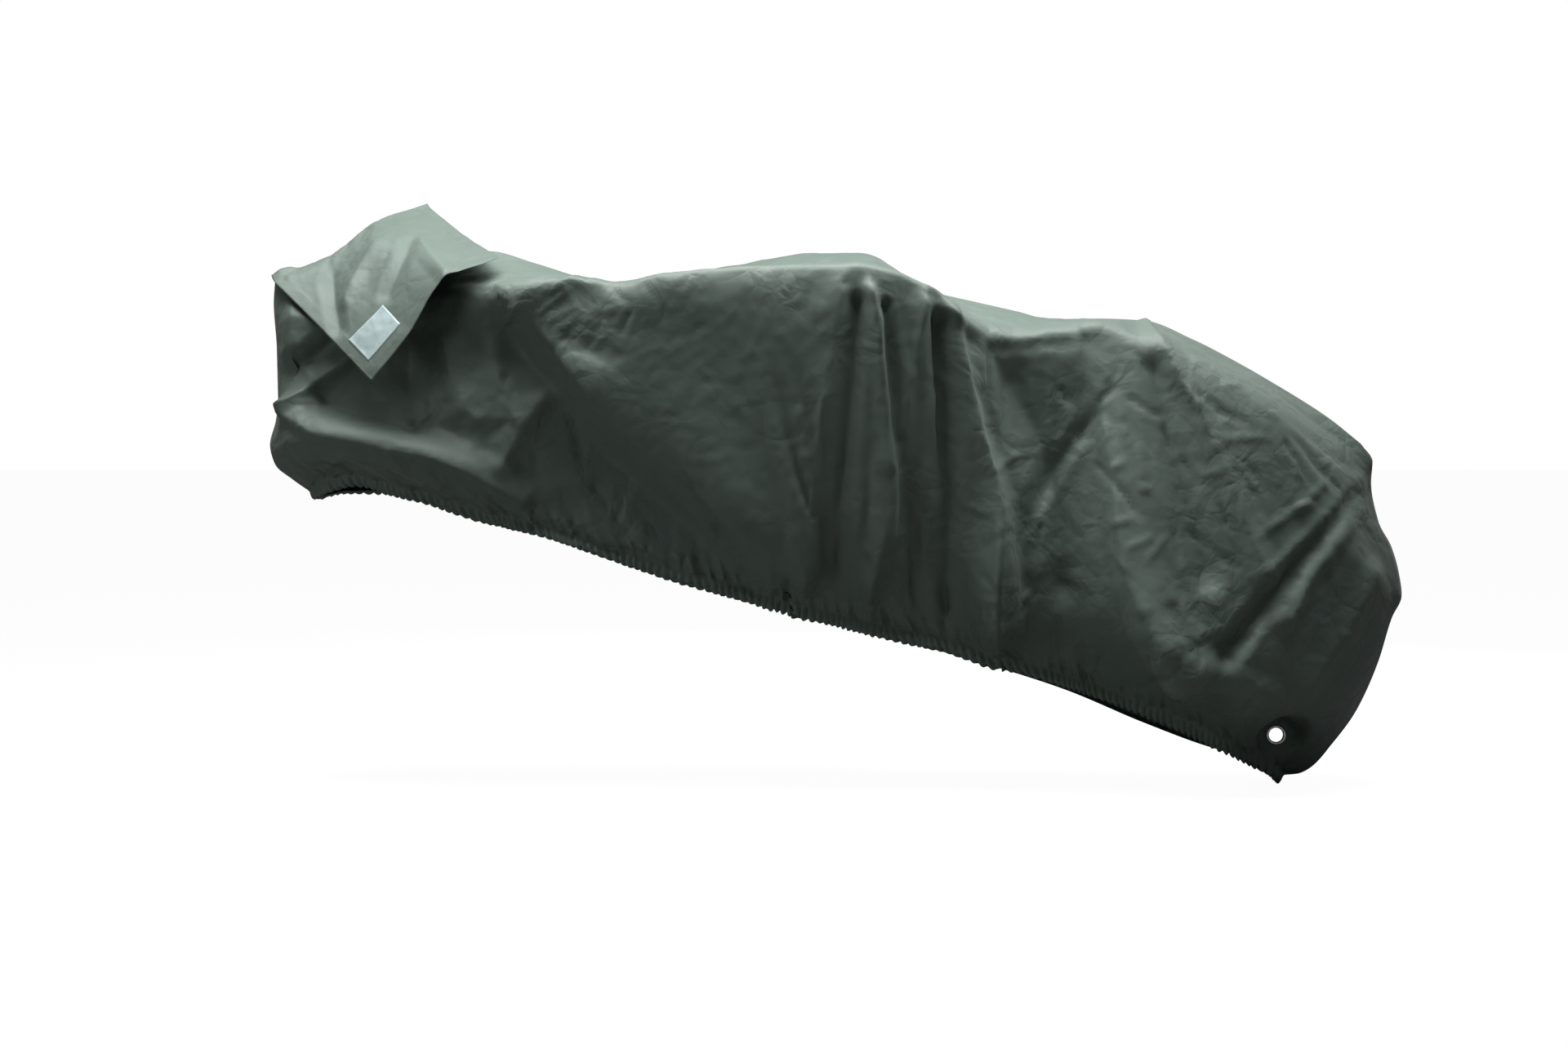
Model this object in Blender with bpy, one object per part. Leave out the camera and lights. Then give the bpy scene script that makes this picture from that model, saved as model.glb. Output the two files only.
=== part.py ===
"""Bicycle cover, tandem size: a hollow shell of coated cloth as it hangs over a leaning tandem.

Two side panels meet at a seam that runs up the front, along the top and down the rear. The
gathered hem slopes from the front wheel down to the rear tip. A hemmed front flap with a bare
label patch lies over the front handlebar, and a metal eyelet sits in a strip at each rear corner.

Places are given as x along the cover (rear is +X), `out` from the leaning middle plane to
either side, and z above the ground. The frame's origin is the hold under the top, +Z up, and
the near side is -Y.
"""

import math
from collections import namedtuple

import bmesh
import bpy
import numpy as np
from mathutils import Vector
from mathutils.bvhtree import BVHTree

# Driving dimensions, in metres.
HOLD = (0.15, 0.0, 1.128)  # where the cover is held, under its top at the rear handlebar
LEAN = 0.09  # sideways drift of the middle plane for each metre of height
CLOTH = 0.002  # thickness of the coated cloth
GAP = 0.0003  # between pieces that touch
CLEAR = 0.010  # least clearance of the loose flap over the cover
SEAM_SEAT = 0.0006  # clearance of the flap's sewn edge over the cover
NEAR = -1.0
FAR = 1.0

# Relative distance down a section from the seam at which its named places lie.
SHOULDER, WAIST, BELLY, HEM = 0.22, 0.45, 0.72, 1.0
CALM_HEM = 0.15

# The eyelets: place of each centre, and how far out the flattened cloth around it lies.
Eyelet = namedtuple("Eyelet", "x z out")
EYELETS = {NEAR: Eyelet(1.066, 0.114, 0.056), FAR: Eyelet(1.087, 0.100, 0.056)}
FLAT_RADIUS = 0.050
FLAT_FADE = 0.075
BORE_RADIUS = 0.0155
NECK_RADIUS = 0.0167
FLANGE_RADIUS = 0.0218
BACK_RADIUS = 0.0205

# Height of the seam along the top, front to rear.
SEAM_TOP = (
    (-1.088, 1.090), (-1.030, 1.086), (-0.950, 1.096), (-0.860, 1.118), (-0.740, 1.145),
    (-0.630, 1.156), (-0.530, 1.130), (-0.420, 1.098), (-0.280, 1.080), (-0.130, 1.084),
    (0.000, 1.100), (0.100, 1.126), (0.153, 1.134), (0.210, 1.114), (0.300, 1.075),
    (0.420, 1.046), (0.500, 1.028), (0.570, 1.012), (0.670, 1.013), (0.770, 1.009),
    (0.880, 0.967), (0.950, 0.932), (1.052, 0.875), (1.170, 0.802), (1.243, 0.745),
)

# The front and rear edges: relative distance down, x, z.
FRONT_EDGE = (
    (0.00, -1.088, 1.090), (0.10, -1.092, 1.040), (0.27, -1.088, 0.950), (0.46, -1.088, 0.840),
    (0.56, -1.094, 0.795), (0.66, -1.108, 0.742), (0.75, -1.098, 0.700), (0.86, -1.062, 0.668),
    (1.00, -1.008, 0.630),
)
REAR_EDGE = (
    (0.000, 1.243, 0.745), (0.053, 1.270, 0.705), (0.100, 1.268, 0.665), (0.207, 1.287, 0.575),
    (0.276, 1.316, 0.522), (0.346, 1.334, 0.465), (0.406, 1.342, 0.414), (0.468, 1.322, 0.365),
    (0.584, 1.295, 0.267), (0.716, 1.251, 0.161), (0.818, 1.201, 0.088), (0.903, 1.153, 0.033),
    (0.938, 1.125, 0.020), (1.000, 1.072, 0.016),
)

# A section of one side: the seam's x, then x, out and z of its four places below the seam.
Section = namedtuple("Section", "at shoulder waist belly hem")
NEAR_SECTIONS = (
    Section(-1.030, (-1.045, 0.080, 1.010), (-1.045, 0.085, 0.865), (-1.055, 0.115, 0.752),
            (-0.955, 0.060, 0.652)),
    Section(-0.950, (-0.965, 0.090, 0.985), (-0.970, 0.085, 0.880), (-0.985, 0.165, 0.758),
            (-0.892, 0.075, 0.668)),
    Section(-0.850, (-0.870, 0.085, 1.005), (-0.880, 0.070, 0.900), (-0.895, 0.190, 0.755),
            (-0.814, 0.085, 0.645)),
    Section(-0.740, (-0.760, 0.100, 1.045), (-0.780, 0.090, 0.910), (-0.795, 0.195, 0.742),
            (-0.735, 0.090, 0.624)),
    Section(-0.630, (-0.650, 0.165, 1.060), (-0.680, 0.125, 0.915), (-0.700, 0.180, 0.715),
            (-0.652, 0.095, 0.592)),
    Section(-0.540, (-0.545, 0.222, 1.062), (-0.585, 0.150, 0.920), (-0.605, 0.160, 0.712),
            (-0.568, 0.100, 0.567)),
    Section(-0.460, (-0.437, 0.235, 1.084), (-0.490, 0.205, 0.935), (-0.520, 0.145, 0.705),
            (-0.490, 0.105, 0.543)),
    Section(-0.370, (-0.345, 0.228, 1.080), (-0.385, 0.262, 0.925), (-0.410, 0.150, 0.695),
            (-0.392, 0.105, 0.508)),
    Section(-0.270, (-0.250, 0.250, 1.098), (-0.285, 0.278, 0.915), (-0.310, 0.180, 0.680),
            (-0.302, 0.105, 0.478)),
    Section(-0.060, (-0.055, 0.248, 1.114), (-0.065, 0.288, 0.900), (-0.075, 0.262, 0.630),
            (-0.080, 0.120, 0.414)),
    Section(0.140, (0.145, 0.265, 1.114), (0.140, 0.286, 0.875), (0.130, 0.268, 0.592),
            (0.122, 0.125, 0.362)),
    Section(0.300, (0.300, 0.250, 1.072), (0.305, 0.245, 0.845), (0.305, 0.240, 0.562),
            (0.307, 0.125, 0.313)),
    Section(0.420, (0.424, 0.165, 0.958), (0.430, 0.190, 0.785), (0.440, 0.215, 0.502),
            (0.450, 0.120, 0.276)),
    Section(0.600, (0.600, 0.140, 0.985), (0.605, 0.160, 0.805), (0.612, 0.215, 0.460),
            (0.630, 0.112, 0.220)),
    Section(0.790, (0.797, 0.165, 0.945), (0.800, 0.222, 0.718), (0.800, 0.278, 0.340),
            (0.800, 0.118, 0.162)),
    Section(0.960, (0.985, 0.178, 0.836), (0.990, 0.236, 0.600), (0.965, 0.282, 0.255),
            (0.920, 0.126, 0.106)),
    Section(1.120, (1.155, 0.140, 0.694), (1.190, 0.180, 0.480), (1.130, 0.176, 0.200),
            (1.008, 0.064, 0.055)),
    Section(1.200, (1.232, 0.080, 0.616), (1.280, 0.095, 0.415), (1.212, 0.086, 0.180),
            (1.047, 0.045, 0.030)),
)
FAR_SECTIONS = (
    Section(-1.030, (-1.035, 0.055, 1.035), (-1.045, 0.120, 0.880), (-1.055, 0.120, 0.745),
            (-0.955, 0.080, 0.640)),
    Section(-0.860, (-0.870, 0.140, 1.165), (-0.890, 0.225, 0.960), (-0.905, 0.210, 0.745),
            (-0.830, 0.120, 0.640)),
    Section(-0.740, (-0.775, 0.215, 1.205), (-0.785, 0.250, 0.960), (-0.790, 0.215, 0.730),
            (-0.740, 0.130, 0.612)),
    Section(-0.600, (-0.650, 0.240, 1.150), (-0.660, 0.240, 0.910), (-0.670, 0.205, 0.700),
            (-0.620, 0.140, 0.575)),
    Section(-0.420, (-0.430, 0.250, 1.065), (-0.450, 0.240, 0.860), (-0.460, 0.195, 0.660),
            (-0.430, 0.145, 0.515)),
    Section(-0.130, (-0.130, 0.262, 1.140), (-0.140, 0.255, 0.880), (-0.150, 0.215, 0.610),
            (-0.150, 0.150, 0.420)),
    Section(0.090, (0.085, 0.280, 1.171), (0.095, 0.272, 0.930), (0.100, 0.235, 0.605),
            (0.095, 0.155, 0.352)),
    Section(0.170, (0.170, 0.280, 1.171), (0.170, 0.268, 0.925), (0.170, 0.232, 0.590),
            (0.165, 0.155, 0.332)),
    Section(0.280, (0.285, 0.240, 1.108), (0.288, 0.225, 0.860), (0.292, 0.205, 0.540),
            (0.300, 0.150, 0.292)),
    Section(0.420, (0.424, 0.168, 0.975), (0.430, 0.180, 0.790), (0.440, 0.185, 0.500),
            (0.450, 0.140, 0.250)),
    Section(0.600, (0.600, 0.118, 0.988), (0.605, 0.160, 0.800), (0.612, 0.172, 0.455),
            (0.630, 0.130, 0.192)),
    Section(0.790, (0.797, 0.135, 0.955), (0.800, 0.178, 0.710), (0.800, 0.180, 0.380),
            (0.790, 0.115, 0.125)),
    Section(0.960, (0.985, 0.140, 0.838), (0.990, 0.176, 0.600), (0.970, 0.168, 0.305),
            (0.910, 0.090, 0.080)),
    Section(1.120, (1.155, 0.108, 0.692), (1.190, 0.136, 0.480), (1.140, 0.120, 0.225),
            (1.005, 0.062, 0.050)),
    Section(1.200, (1.232, 0.052, 0.620), (1.280, 0.075, 0.415), (1.212, 0.080, 0.180),
            (1.047, 0.045, 0.028)),
)

# A fold: its line through (x, z) points, half its width and its rise at both ends. A rise
# below zero is a trough. Lean widens the flank on the left of the line and narrows the other.
Fold = namedtuple("Fold", "line reach rise lean", defaults=(0.0,))
NEAR_FOLDS = {
    "swoop edge": Fold(((-0.560, 1.040), (-0.500, 0.990), (-0.455, 0.925), (-0.395, 0.838),
                        (-0.313, 0.755), (-0.220, 0.680), (-0.132, 0.600), (-0.068, 0.530),
                        (-0.010, 0.450)), (0.060, 0.110), (0.020, 0.052), 0.60),
    "hollow under the swoop": Fold(((-0.600, 0.980), (-0.520, 0.880), (-0.430, 0.760),
                                    (-0.330, 0.660), (-0.220, 0.570), (-0.120, 0.480)),
                                   (0.080, 0.090), (-0.036, -0.046)),
    "first pleat edge": Fold(((0.120, 1.060), (0.106, 0.979), (0.089, 0.779), (0.068, 0.613),
                              (0.049, 0.440)), (0.040, 0.055), (0.014, 0.026), -0.45),
    "first pleat trough": Fold(((0.150, 1.040), (0.140, 0.900), (0.120, 0.700), (0.098, 0.480)),
                               (0.026, 0.045), (-0.024, -0.036)),
    "knife pleat": Fold(((0.178, 1.065), (0.190, 1.009), (0.203, 0.857), (0.212, 0.700)),
                        (0.024, 0.028), (0.024, 0.018), -0.30),
    "knife pleat shade": Fold(((0.206, 1.030), (0.226, 0.860), (0.238, 0.700)),
                              (0.020, 0.024), (-0.018, -0.012)),
    "broad pleat": Fold(((0.290, 1.039), (0.269, 0.955), (0.251, 0.851), (0.229, 0.679),
                         (0.205, 0.542), (0.171, 0.370)), (0.035, 0.050), (0.022, 0.034), -0.20),
    "cape trough": Fold(((0.318, 1.000), (0.318, 0.880), (0.325, 0.760), (0.345, 0.640),
                         (0.350, 0.480), (0.340, 0.360)), (0.035, 0.055), (-0.032, -0.036)),
    "cape ridge": Fold(((0.337, 1.024), (0.361, 0.900), (0.388, 0.775), (0.430, 0.677),
                        (0.446, 0.608), (0.452, 0.469), (0.457, 0.320)),
                       (0.032, 0.085), (0.026, 0.085), -0.25),
    "cape hollow": Fold(((0.480, 0.860), (0.540, 0.760), (0.575, 0.620), (0.580, 0.440)),
                        (0.080, 0.095), (-0.010, -0.050)),
    "valley rim": Fold(((0.345, 1.010), (0.416, 0.958), (0.494, 0.964), (0.562, 0.978),
                        (0.632, 0.984), (0.767, 1.000)), (0.030, 0.032), (0.016, 0.014), 0.20),
    "shoulder hollow": Fold(((0.470, 0.870), (0.530, 0.865), (0.600, 0.840)),
                            (0.105, 0.115), (-0.014, -0.010)),
    "saddle lobe": Fold(((0.628, 0.950), (0.664, 0.828), (0.689, 0.705), (0.700, 0.587),
                         (0.725, 0.460), (0.763, 0.368), (0.834, 0.262)),
                        (0.060, 0.085), (0.040, 0.070), 0.25),
    "lobe shade": Fold(((0.655, 0.812), (0.578, 0.721), (0.510, 0.602), (0.499, 0.444)),
                       (0.034, 0.044), (-0.014, -0.030)),
    "behind the lobe": Fold(((0.770, 0.900), (0.800, 0.760), (0.840, 0.620), (0.880, 0.480)),
                            (0.048, 0.060), (-0.020, -0.026)),
    "second ridge": Fold(((0.764, 0.995), (0.803, 0.911), (0.860, 0.811), (0.912, 0.696),
                          (0.949, 0.585), (0.994, 0.477)), (0.034, 0.045), (0.016, 0.024), 0.20),
    "rear band": Fold(((1.225, 0.640), (1.130, 0.548), (1.030, 0.446), (0.962, 0.370),
                       (0.915, 0.304)), (0.040, 0.042), (-0.026, -0.030)),
    "rear band ridge": Fold(((1.245, 0.665), (1.165, 0.566), (1.098, 0.486), (1.047, 0.384)),
                            (0.044, 0.044), (0.020, 0.022)),
    "rear tip ridge": Fold(((1.255, 0.470), (1.170, 0.330), (1.100, 0.235)),
                           (0.050, 0.050), (0.014, 0.014)),
    "tuck": Fold(((0.800, 0.400), (0.850, 0.305), (0.900, 0.330), (0.960, 0.345)),
                 (0.026, 0.026), (-0.010, -0.010)),
    "front roll": Fold(((-1.060, 0.806), (-0.987, 0.768), (-0.907, 0.757), (-0.835, 0.744),
                        (-0.753, 0.726), (-0.686, 0.702), (-0.618, 0.668), (-0.555, 0.630)),
                       (0.040, 0.048), (0.018, 0.036), 0.40),
    "second roll": Fold(((-1.010, 0.715), (-0.917, 0.722), (-0.845, 0.716), (-0.790, 0.694),
                         (-0.720, 0.662)), (0.026, 0.028), (0.014, 0.014), 0.20),
    "hollow over the roll": Fold(((-0.980, 0.850), (-0.880, 0.825), (-0.770, 0.805),
                                  (-0.680, 0.775)), (0.060, 0.055), (-0.036, -0.024)),
    "pull fold": Fold(((-1.062, 0.827), (-1.018, 0.854), (-0.967, 0.895), (-0.920, 0.935)),
                      (0.030, 0.032), (0.022, 0.020)),
    "pull trough": Fold(((-1.055, 0.900), (-1.000, 0.925), (-0.950, 0.965)),
                        (0.050, 0.050), (-0.030, -0.028)),
    "fork hollow": Fold(((-0.800, 0.980), (-0.800, 0.880), (-0.775, 0.800)),
                        (0.060, 0.060), (-0.030, -0.026)),
    "front belly": Fold(((-0.705, 0.950), (-0.686, 0.869), (-0.652, 0.800)),
                        (0.060, 0.060), (0.024, 0.020)),
    "soft ridge": Fold(((-0.616, 0.991), (-0.598, 0.890), (-0.557, 0.811)),
                       (0.032, 0.038), (0.016, 0.016)),
    "fender ridge": Fold(((-0.515, 0.835), (-0.550, 0.774), (-0.594, 0.705)),
                         (0.045, 0.045), (0.026, 0.022)),
}
FAR_FOLDS = {
    "far grip ridge": Fold(((-0.795, 1.200), (-0.850, 0.980), (-0.900, 0.800)),
                           (0.050, 0.080), (0.012, 0.020)),
    "far grip rear ridge": Fold(((-0.740, 1.160), (-0.640, 0.960), (-0.520, 0.760),
                                 (-0.420, 0.600)), (0.050, 0.090), (0.016, 0.030)),
    "far grip trough": Fold(((-0.780, 1.080), (-0.760, 0.900), (-0.740, 0.760)),
                            (0.045, 0.070), (-0.018, -0.026)),
    "far swag": Fold(((-0.300, 0.980), (-0.180, 0.760), (-0.080, 0.560)),
                     (0.110, 0.110), (-0.024, -0.026)),
    "far bar front pleat": Fold(((0.090, 1.120), (0.040, 0.880), (0.010, 0.600)),
                                (0.040, 0.060), (0.018, 0.020)),
    "far bar trough": Fold(((0.140, 1.100), (0.130, 0.850), (0.130, 0.560)),
                           (0.040, 0.055), (-0.022, -0.024)),
    "far bar rear pleat": Fold(((0.185, 1.120), (0.220, 0.880), (0.250, 0.560)),
                               (0.040, 0.060), (0.020, 0.020)),
    "far rear trough": Fold(((0.330, 0.980), (0.380, 0.760), (0.430, 0.460)),
                            (0.060, 0.070), (-0.026, -0.024)),
    "far saddle ridge": Fold(((0.620, 0.940), (0.660, 0.700), (0.720, 0.420)),
                             (0.060, 0.075), (0.016, 0.024)),
    "far rear ridge": Fold(((1.180, 0.660), (1.060, 0.480), (0.960, 0.320)),
                           (0.045, 0.050), (0.016, 0.016)),
    "far front roll": Fold(((-1.040, 0.800), (-0.920, 0.765), (-0.760, 0.725), (-0.620, 0.665)),
                           (0.040, 0.045), (0.020, 0.020)),
}

# The flap: lines from its loose edge on the near side over the crest, then down to its sewn
# edge. The first line is its front edge, the last its rear edge. Places are x, y and z.
FlapLine = namedtuple("FlapLine", "loose middle crest")
FLAP_LINES = (
    FlapLine((-0.850, -0.205, 0.885), (-0.970, -0.104, 0.994), (-1.092, -0.002, 1.102)),
    FlapLine((-0.776, -0.212, 0.976), (-0.882, -0.085, 1.072), (-0.985, 0.062, 1.150)),
    FlapLine((-0.702, -0.208, 1.088), (-0.800, -0.030, 1.172), (-0.892, 0.150, 1.232)),
    FlapLine((-0.597, -0.135, 1.140), (-0.690, 0.050, 1.198), (-0.792, 0.220, 1.275)),
)
FLAP_CLOTH = 0.0016
SEWN_FROM, SEWN_TO, SEWN_ROW = 1, 8, 6  # columns and row of the far panel's grid
LOOSE_EDGE, FLAP_MIDDLE, CREST, SEWN_EDGE = 0.0, 0.34, 0.68, 1.0
FRONT_TO_REAR = (0.0, 0.34, 0.68, 1.0)
FLAP_COLUMNS = 15
FLAP_ROWS = 2 * (SEWN_TO - SEWN_FROM) + 1
FLAP_FOLDS = {
    "flap trough": Fold(((-0.965, 1.110), (-0.950, 1.050), (-0.935, 0.990)),
                        (0.035, 0.030), (-0.016, -0.012)),
    "flap ridge": Fold(((-0.870, 1.165), (-0.900, 1.110), (-0.925, 1.050)),
                       (0.040, 0.035), (0.014, 0.010)),
    "flap second trough": Fold(((-0.800, 1.165), (-0.815, 1.110), (-0.830, 1.060)),
                               (0.035, 0.030), (-0.014, -0.010)),
    "flap turn": Fold(((-0.772, 1.172), (-0.737, 1.135), (-0.698, 1.100)),
                      (0.030, 0.030), (0.012, 0.010)),
}

# The label patch: which cells of the flap's grid it covers.
LABEL_THICK = 0.0009
LABEL_COLUMNS = (1, 3)
LABEL_ROWS = (1, 5)

# The grid of each panel.
NEAR_ROWS, FAR_ROWS = 27, 21
WIDE_STEP, PLEAT_STEP, FAR_STEP = 0.040, 0.022, 0.050
PLEATS_FROM, PLEATS_TO = 0.03, 0.47
STRIP_FROM, STRIP_DROP = 1.03, 0.74
STRIP_ROWS = 9
STRIP_GAP_ALONG, STRIP_GAP_DOWN = 0.0018, 0.0014

COVER_GREEN = (0.050, 0.068, 0.058)
LABEL_GREY = (0.42, 0.48, 0.46)
STEEL = (0.78, 0.78, 0.76)


def clear_scene():
    for thing in list(bpy.data.objects):
        bpy.data.objects.remove(thing, do_unlink=True)


def finish(name, colour, roughness, metallic):
    material = bpy.data.materials.new(name)
    material.use_nodes = True
    shader = material.node_tree.nodes["Principled BSDF"]
    shader.inputs["Base Color"].default_value = (*colour, 1.0)
    shader.inputs["Roughness"].default_value = roughness
    shader.inputs["Metallic"].default_value = metallic
    return material


def smooth_step(value):
    """0 below 0, 1 above 1, and an even S between them."""
    t = np.clip(value, 0.0, 1.0)
    return t * t * (3.0 - 2.0 * t)


def through(knots, rows, at):
    """Cubic through the rows at the knots that never overshoots them: each tangent is the
    harmonic mean of the slopes beside it, and 0 where the slope changes sign."""
    knots = np.asarray(knots, float)
    rows = np.asarray(rows, float)
    flat = rows.reshape(len(knots), -1)
    steps = np.diff(knots)[:, None]
    slopes = np.diff(flat, axis=0) / steps
    before, after = slopes[:-1], slopes[1:]
    same = before * after > 0.0
    total = np.where(same, before + after, 1.0)
    tangents = np.empty_like(flat)
    tangents[1:-1] = np.where(same, 2.0 * before * after / total, 0.0)
    tangents[0], tangents[-1] = slopes[0], slopes[-1]
    at = np.asarray(at, float)
    left = np.clip(np.searchsorted(knots, at, side="right") - 1, 0, len(knots) - 2)
    span = np.diff(knots)[left]
    t = ((at - knots[left]) / span)[:, None]
    span = span[:, None]
    value = ((1 + 2 * t) * (1 - t) ** 2 * flat[left] + t * (1 - t) ** 2 * span * tangents[left]
             + t * t * (3 - 2 * t) * flat[left + 1]
             - t * t * (1 - t) * span * tangents[left + 1])
    return value.reshape((len(at),) + rows.shape[1:])


def middle_y(z):
    """The leaning middle plane: y at a height above the ground."""
    return (HOLD[2] - z) * LEAN


def section_curves(sections, drops):
    """x, out and z down every section and both edges: one curve for each, at the drops."""
    top = np.array(SEAM_TOP)
    knots, curves = [], []
    front = np.array(FRONT_EDGE)
    front_curve = through(front[:, 0], front[:, 1:], drops)
    knots.append(top[0, 0])
    curves.append(np.stack([front_curve[:, 0], 0.0 * drops, front_curve[:, 1]], axis=1))
    for section in sections:
        seam_z = through(top[:, 0], top[:, 1:], [section.at])[0, 0]
        places = ((section.at, 0.0, seam_z), *section[1:])
        knots.append(section.at)
        curves.append(through((0.0, SHOULDER, WAIST, BELLY, HEM), places, drops))
    rear = np.array(REAR_EDGE)
    rear_curve = through(rear[:, 0], rear[:, 1:], drops)
    knots.append(top[-1, 0])
    curves.append(np.stack([rear_curve[:, 0], 0.0 * drops, rear_curve[:, 1]], axis=1))
    return knots, np.array(curves)


def fold_rise(x, z, folds):
    """Sum of the folds at side-view places. Each is sharp along its line and soft at its
    flanks, its rise times (1 - across)^2 (1 + across), and its width and rise are blended
    from its start to its end."""
    total = np.zeros_like(x)
    for fold in folds.values():
        line = np.array(fold.line)
        lengths = np.linalg.norm(np.diff(line, axis=0), axis=1)
        starts = np.concatenate([[0.0], np.cumsum(lengths)])
        best = np.full(x.shape, np.inf)
        along = np.zeros_like(x)
        hand = np.zeros_like(x)
        for start, end, begun, length in zip(line[:-1], line[1:], starts[:-1], lengths):
            way = (end - start) / length
            t = np.clip((x - start[0]) * way[0] + (z - start[1]) * way[1], 0.0, length)
            off_x = x - start[0] - t * way[0]
            off_z = z - start[1] - t * way[1]
            distance = np.hypot(off_x, off_z)
            closer = distance < best
            best = np.where(closer, distance, best)
            along = np.where(closer, (begun + t) / starts[-1], along)
            hand = np.where(closer, way[0] * off_z - way[1] * off_x, hand)
        reach = fold.reach[0] + (fold.reach[1] - fold.reach[0]) * along
        rise = fold.rise[0] + (fold.rise[1] - fold.rise[0]) * along
        side = np.where(hand > 0.0, 1.0 + fold.lean, 1.0 - fold.lean)
        across = np.clip(best / (reach * side), 0.0, 1.0)
        total += rise * (1.0 - across) ** 2 * (1.0 + across)
    return total


def surface_normals(points, side):
    """Unit normals of a grid of points, pointing away from the hollow."""
    along = np.gradient(points, axis=0)
    down = np.gradient(points, axis=1)
    normals = np.cross(along, down) * side
    return normals / np.linalg.norm(normals, axis=2, keepdims=True)


def cover_surface(side, stations, drops):
    """Outer points and outward normals of one side of the cover, before the frame's shift.
    The hem's elastic leaves only the share CALM_HEM of the folds beside it."""
    stations = np.asarray(stations, float)
    drops = np.asarray(drops, float)
    sections = NEAR_SECTIONS if side == NEAR else FAR_SECTIONS
    folds = NEAR_FOLDS if side == NEAR else FAR_FOLDS
    knots, curves = section_curves(sections, drops)
    places = through(knots, curves, stations)
    top = np.array(SEAM_TOP)
    seam_z = through(top[:, 0], top[:, 1:], stations)[:, 0]
    fade = np.clip(1.0 - drops / SHOULDER, 0.0, 1.0) ** 2
    places[:, :, 2] += (seam_z - places[:, 0, 2])[:, None] * fade[None, :]
    places[:, :, 0] += (stations - places[:, 0, 0])[:, None] * fade[None, :]
    x, out, z = places[:, :, 0], places[:, :, 1], places[:, :, 2]
    points = np.stack([x, middle_y(z) + side * out, z], axis=2)
    normals = surface_normals(points, side)
    from_ends = np.minimum(stations - top[0, 0], top[-1, 0] - stations)[:, None]
    calm = smooth_step(from_ends / 0.05) * smooth_step(drops[None, :] / 0.10)
    calm *= CALM_HEM + (1.0 - CALM_HEM) * smooth_step((1.0 - drops[None, :]) / 0.20)
    points = points + normals * (fold_rise(x, z, folds) * calm)[:, :, None]
    eyelet = EYELETS[side]
    radius = np.hypot(points[:, :, 0] - eyelet.x, points[:, :, 2] - eyelet.z)
    flat = 1.0 - smooth_step((radius - FLAT_RADIUS) / (FLAT_FADE - FLAT_RADIUS))
    points[:, :, 1] += flat * (eyelet_y(side) - points[:, :, 1])
    normals = surface_normals(points, side)
    normals[flat > 0.999] = (0.0, side, 0.0)
    return points, normals


def eyelet_y(side):
    return middle_y(EYELETS[side].z) + side * EYELETS[side].out


def mitre(points, normals, side, edges):
    """Both faces of a sheet. On an edge that meets the other side, the faces lie on the
    middle plane, half a gap short of it."""
    inner = points - normals * CLOTH
    for edge in edges:
        flat = normals[edge] * np.array((1.0, 0.0, 1.0))
        flat /= np.linalg.norm(flat, axis=-1, keepdims=True)
        inner[edge] = points[edge] - flat * CLOTH
        for face in (points, inner):
            face[edge][..., 1] = middle_y(face[edge][..., 2]) + side * GAP / 2.0
    return points, inner


def in_frame(points):
    return np.asarray(points) - np.array(HOLD)


def sheet_mesh(name, outer, inner, kept):
    """A closed sheet: both faces of the kept cells, each cell cut along the same diagonal,
    and a rim along every open edge."""
    columns, rows = outer.shape[:2]
    count = columns * rows
    number = np.arange(count).reshape(columns, rows).tolist()
    faces = []
    rim = set()
    for i, j in np.argwhere(kept).tolist():
        a, b, c, d = number[i][j], number[i + 1][j], number[i + 1][j + 1], number[i][j + 1]
        faces += [(a, b, c), (a, c, d), (count + c, count + b, count + a),
                  (count + d, count + c, count + a)]
        for edge in ((a, b), (b, c), (c, d), (d, a)):
            if edge[::-1] in rim:
                rim.remove(edge[::-1])
            else:
                rim.add(edge)
    for a, b in sorted(rim):
        faces += [(b, a, count + a), (b, count + a, count + b)]
    mesh = bpy.data.meshes.new(name)
    vertices = np.concatenate([outer.reshape(-1, 3), inner.reshape(-1, 3)])
    mesh.from_pydata(in_frame(vertices).tolist(), [], faces)
    shape = bmesh.new()
    shape.from_mesh(mesh)
    loose = [vertex for vertex in shape.verts if not vertex.link_faces]
    bmesh.ops.delete(shape, geom=loose, context="VERTS")
    bmesh.ops.recalc_face_normals(shape, faces=shape.faces)
    shape.to_mesh(mesh)
    shape.free()
    return mesh


def add_object(name, mesh, material):
    thing = bpy.data.objects.new(name, mesh)
    mesh.materials.append(material)
    mesh.shade_smooth()
    bpy.context.scene.collection.objects.link(thing)
    return thing


def panel_stations(side):
    """Columns along the seam: closer together over the near side's pleats."""
    ends = SEAM_TOP[0][0], SEAM_TOP[-1][0]
    if side == FAR:
        stops = ((ends[0], STRIP_FROM, FAR_STEP), (STRIP_FROM, ends[1], WIDE_STEP / 2))
    else:
        stops = ((ends[0], PLEATS_FROM, WIDE_STEP), (PLEATS_FROM, PLEATS_TO, PLEAT_STEP),
                 (PLEATS_TO, STRIP_FROM, WIDE_STEP), (STRIP_FROM, ends[1], WIDE_STEP / 2))
    stations = []
    for start, end, step in stops:
        count = max(2, round((end - start) / step))
        stations.extend(np.linspace(start, end, count, endpoint=False))
    return np.array(stations + [ends[1]])


def panel_drops(rows):
    """Rows down the panel, with one that lies exactly at the top of the eyelet strip."""
    above = round(rows * STRIP_DROP)
    upper = np.linspace(0.0, STRIP_DROP, above, endpoint=False)
    return np.concatenate([upper, np.linspace(STRIP_DROP, 1.0, rows - above)])


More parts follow.
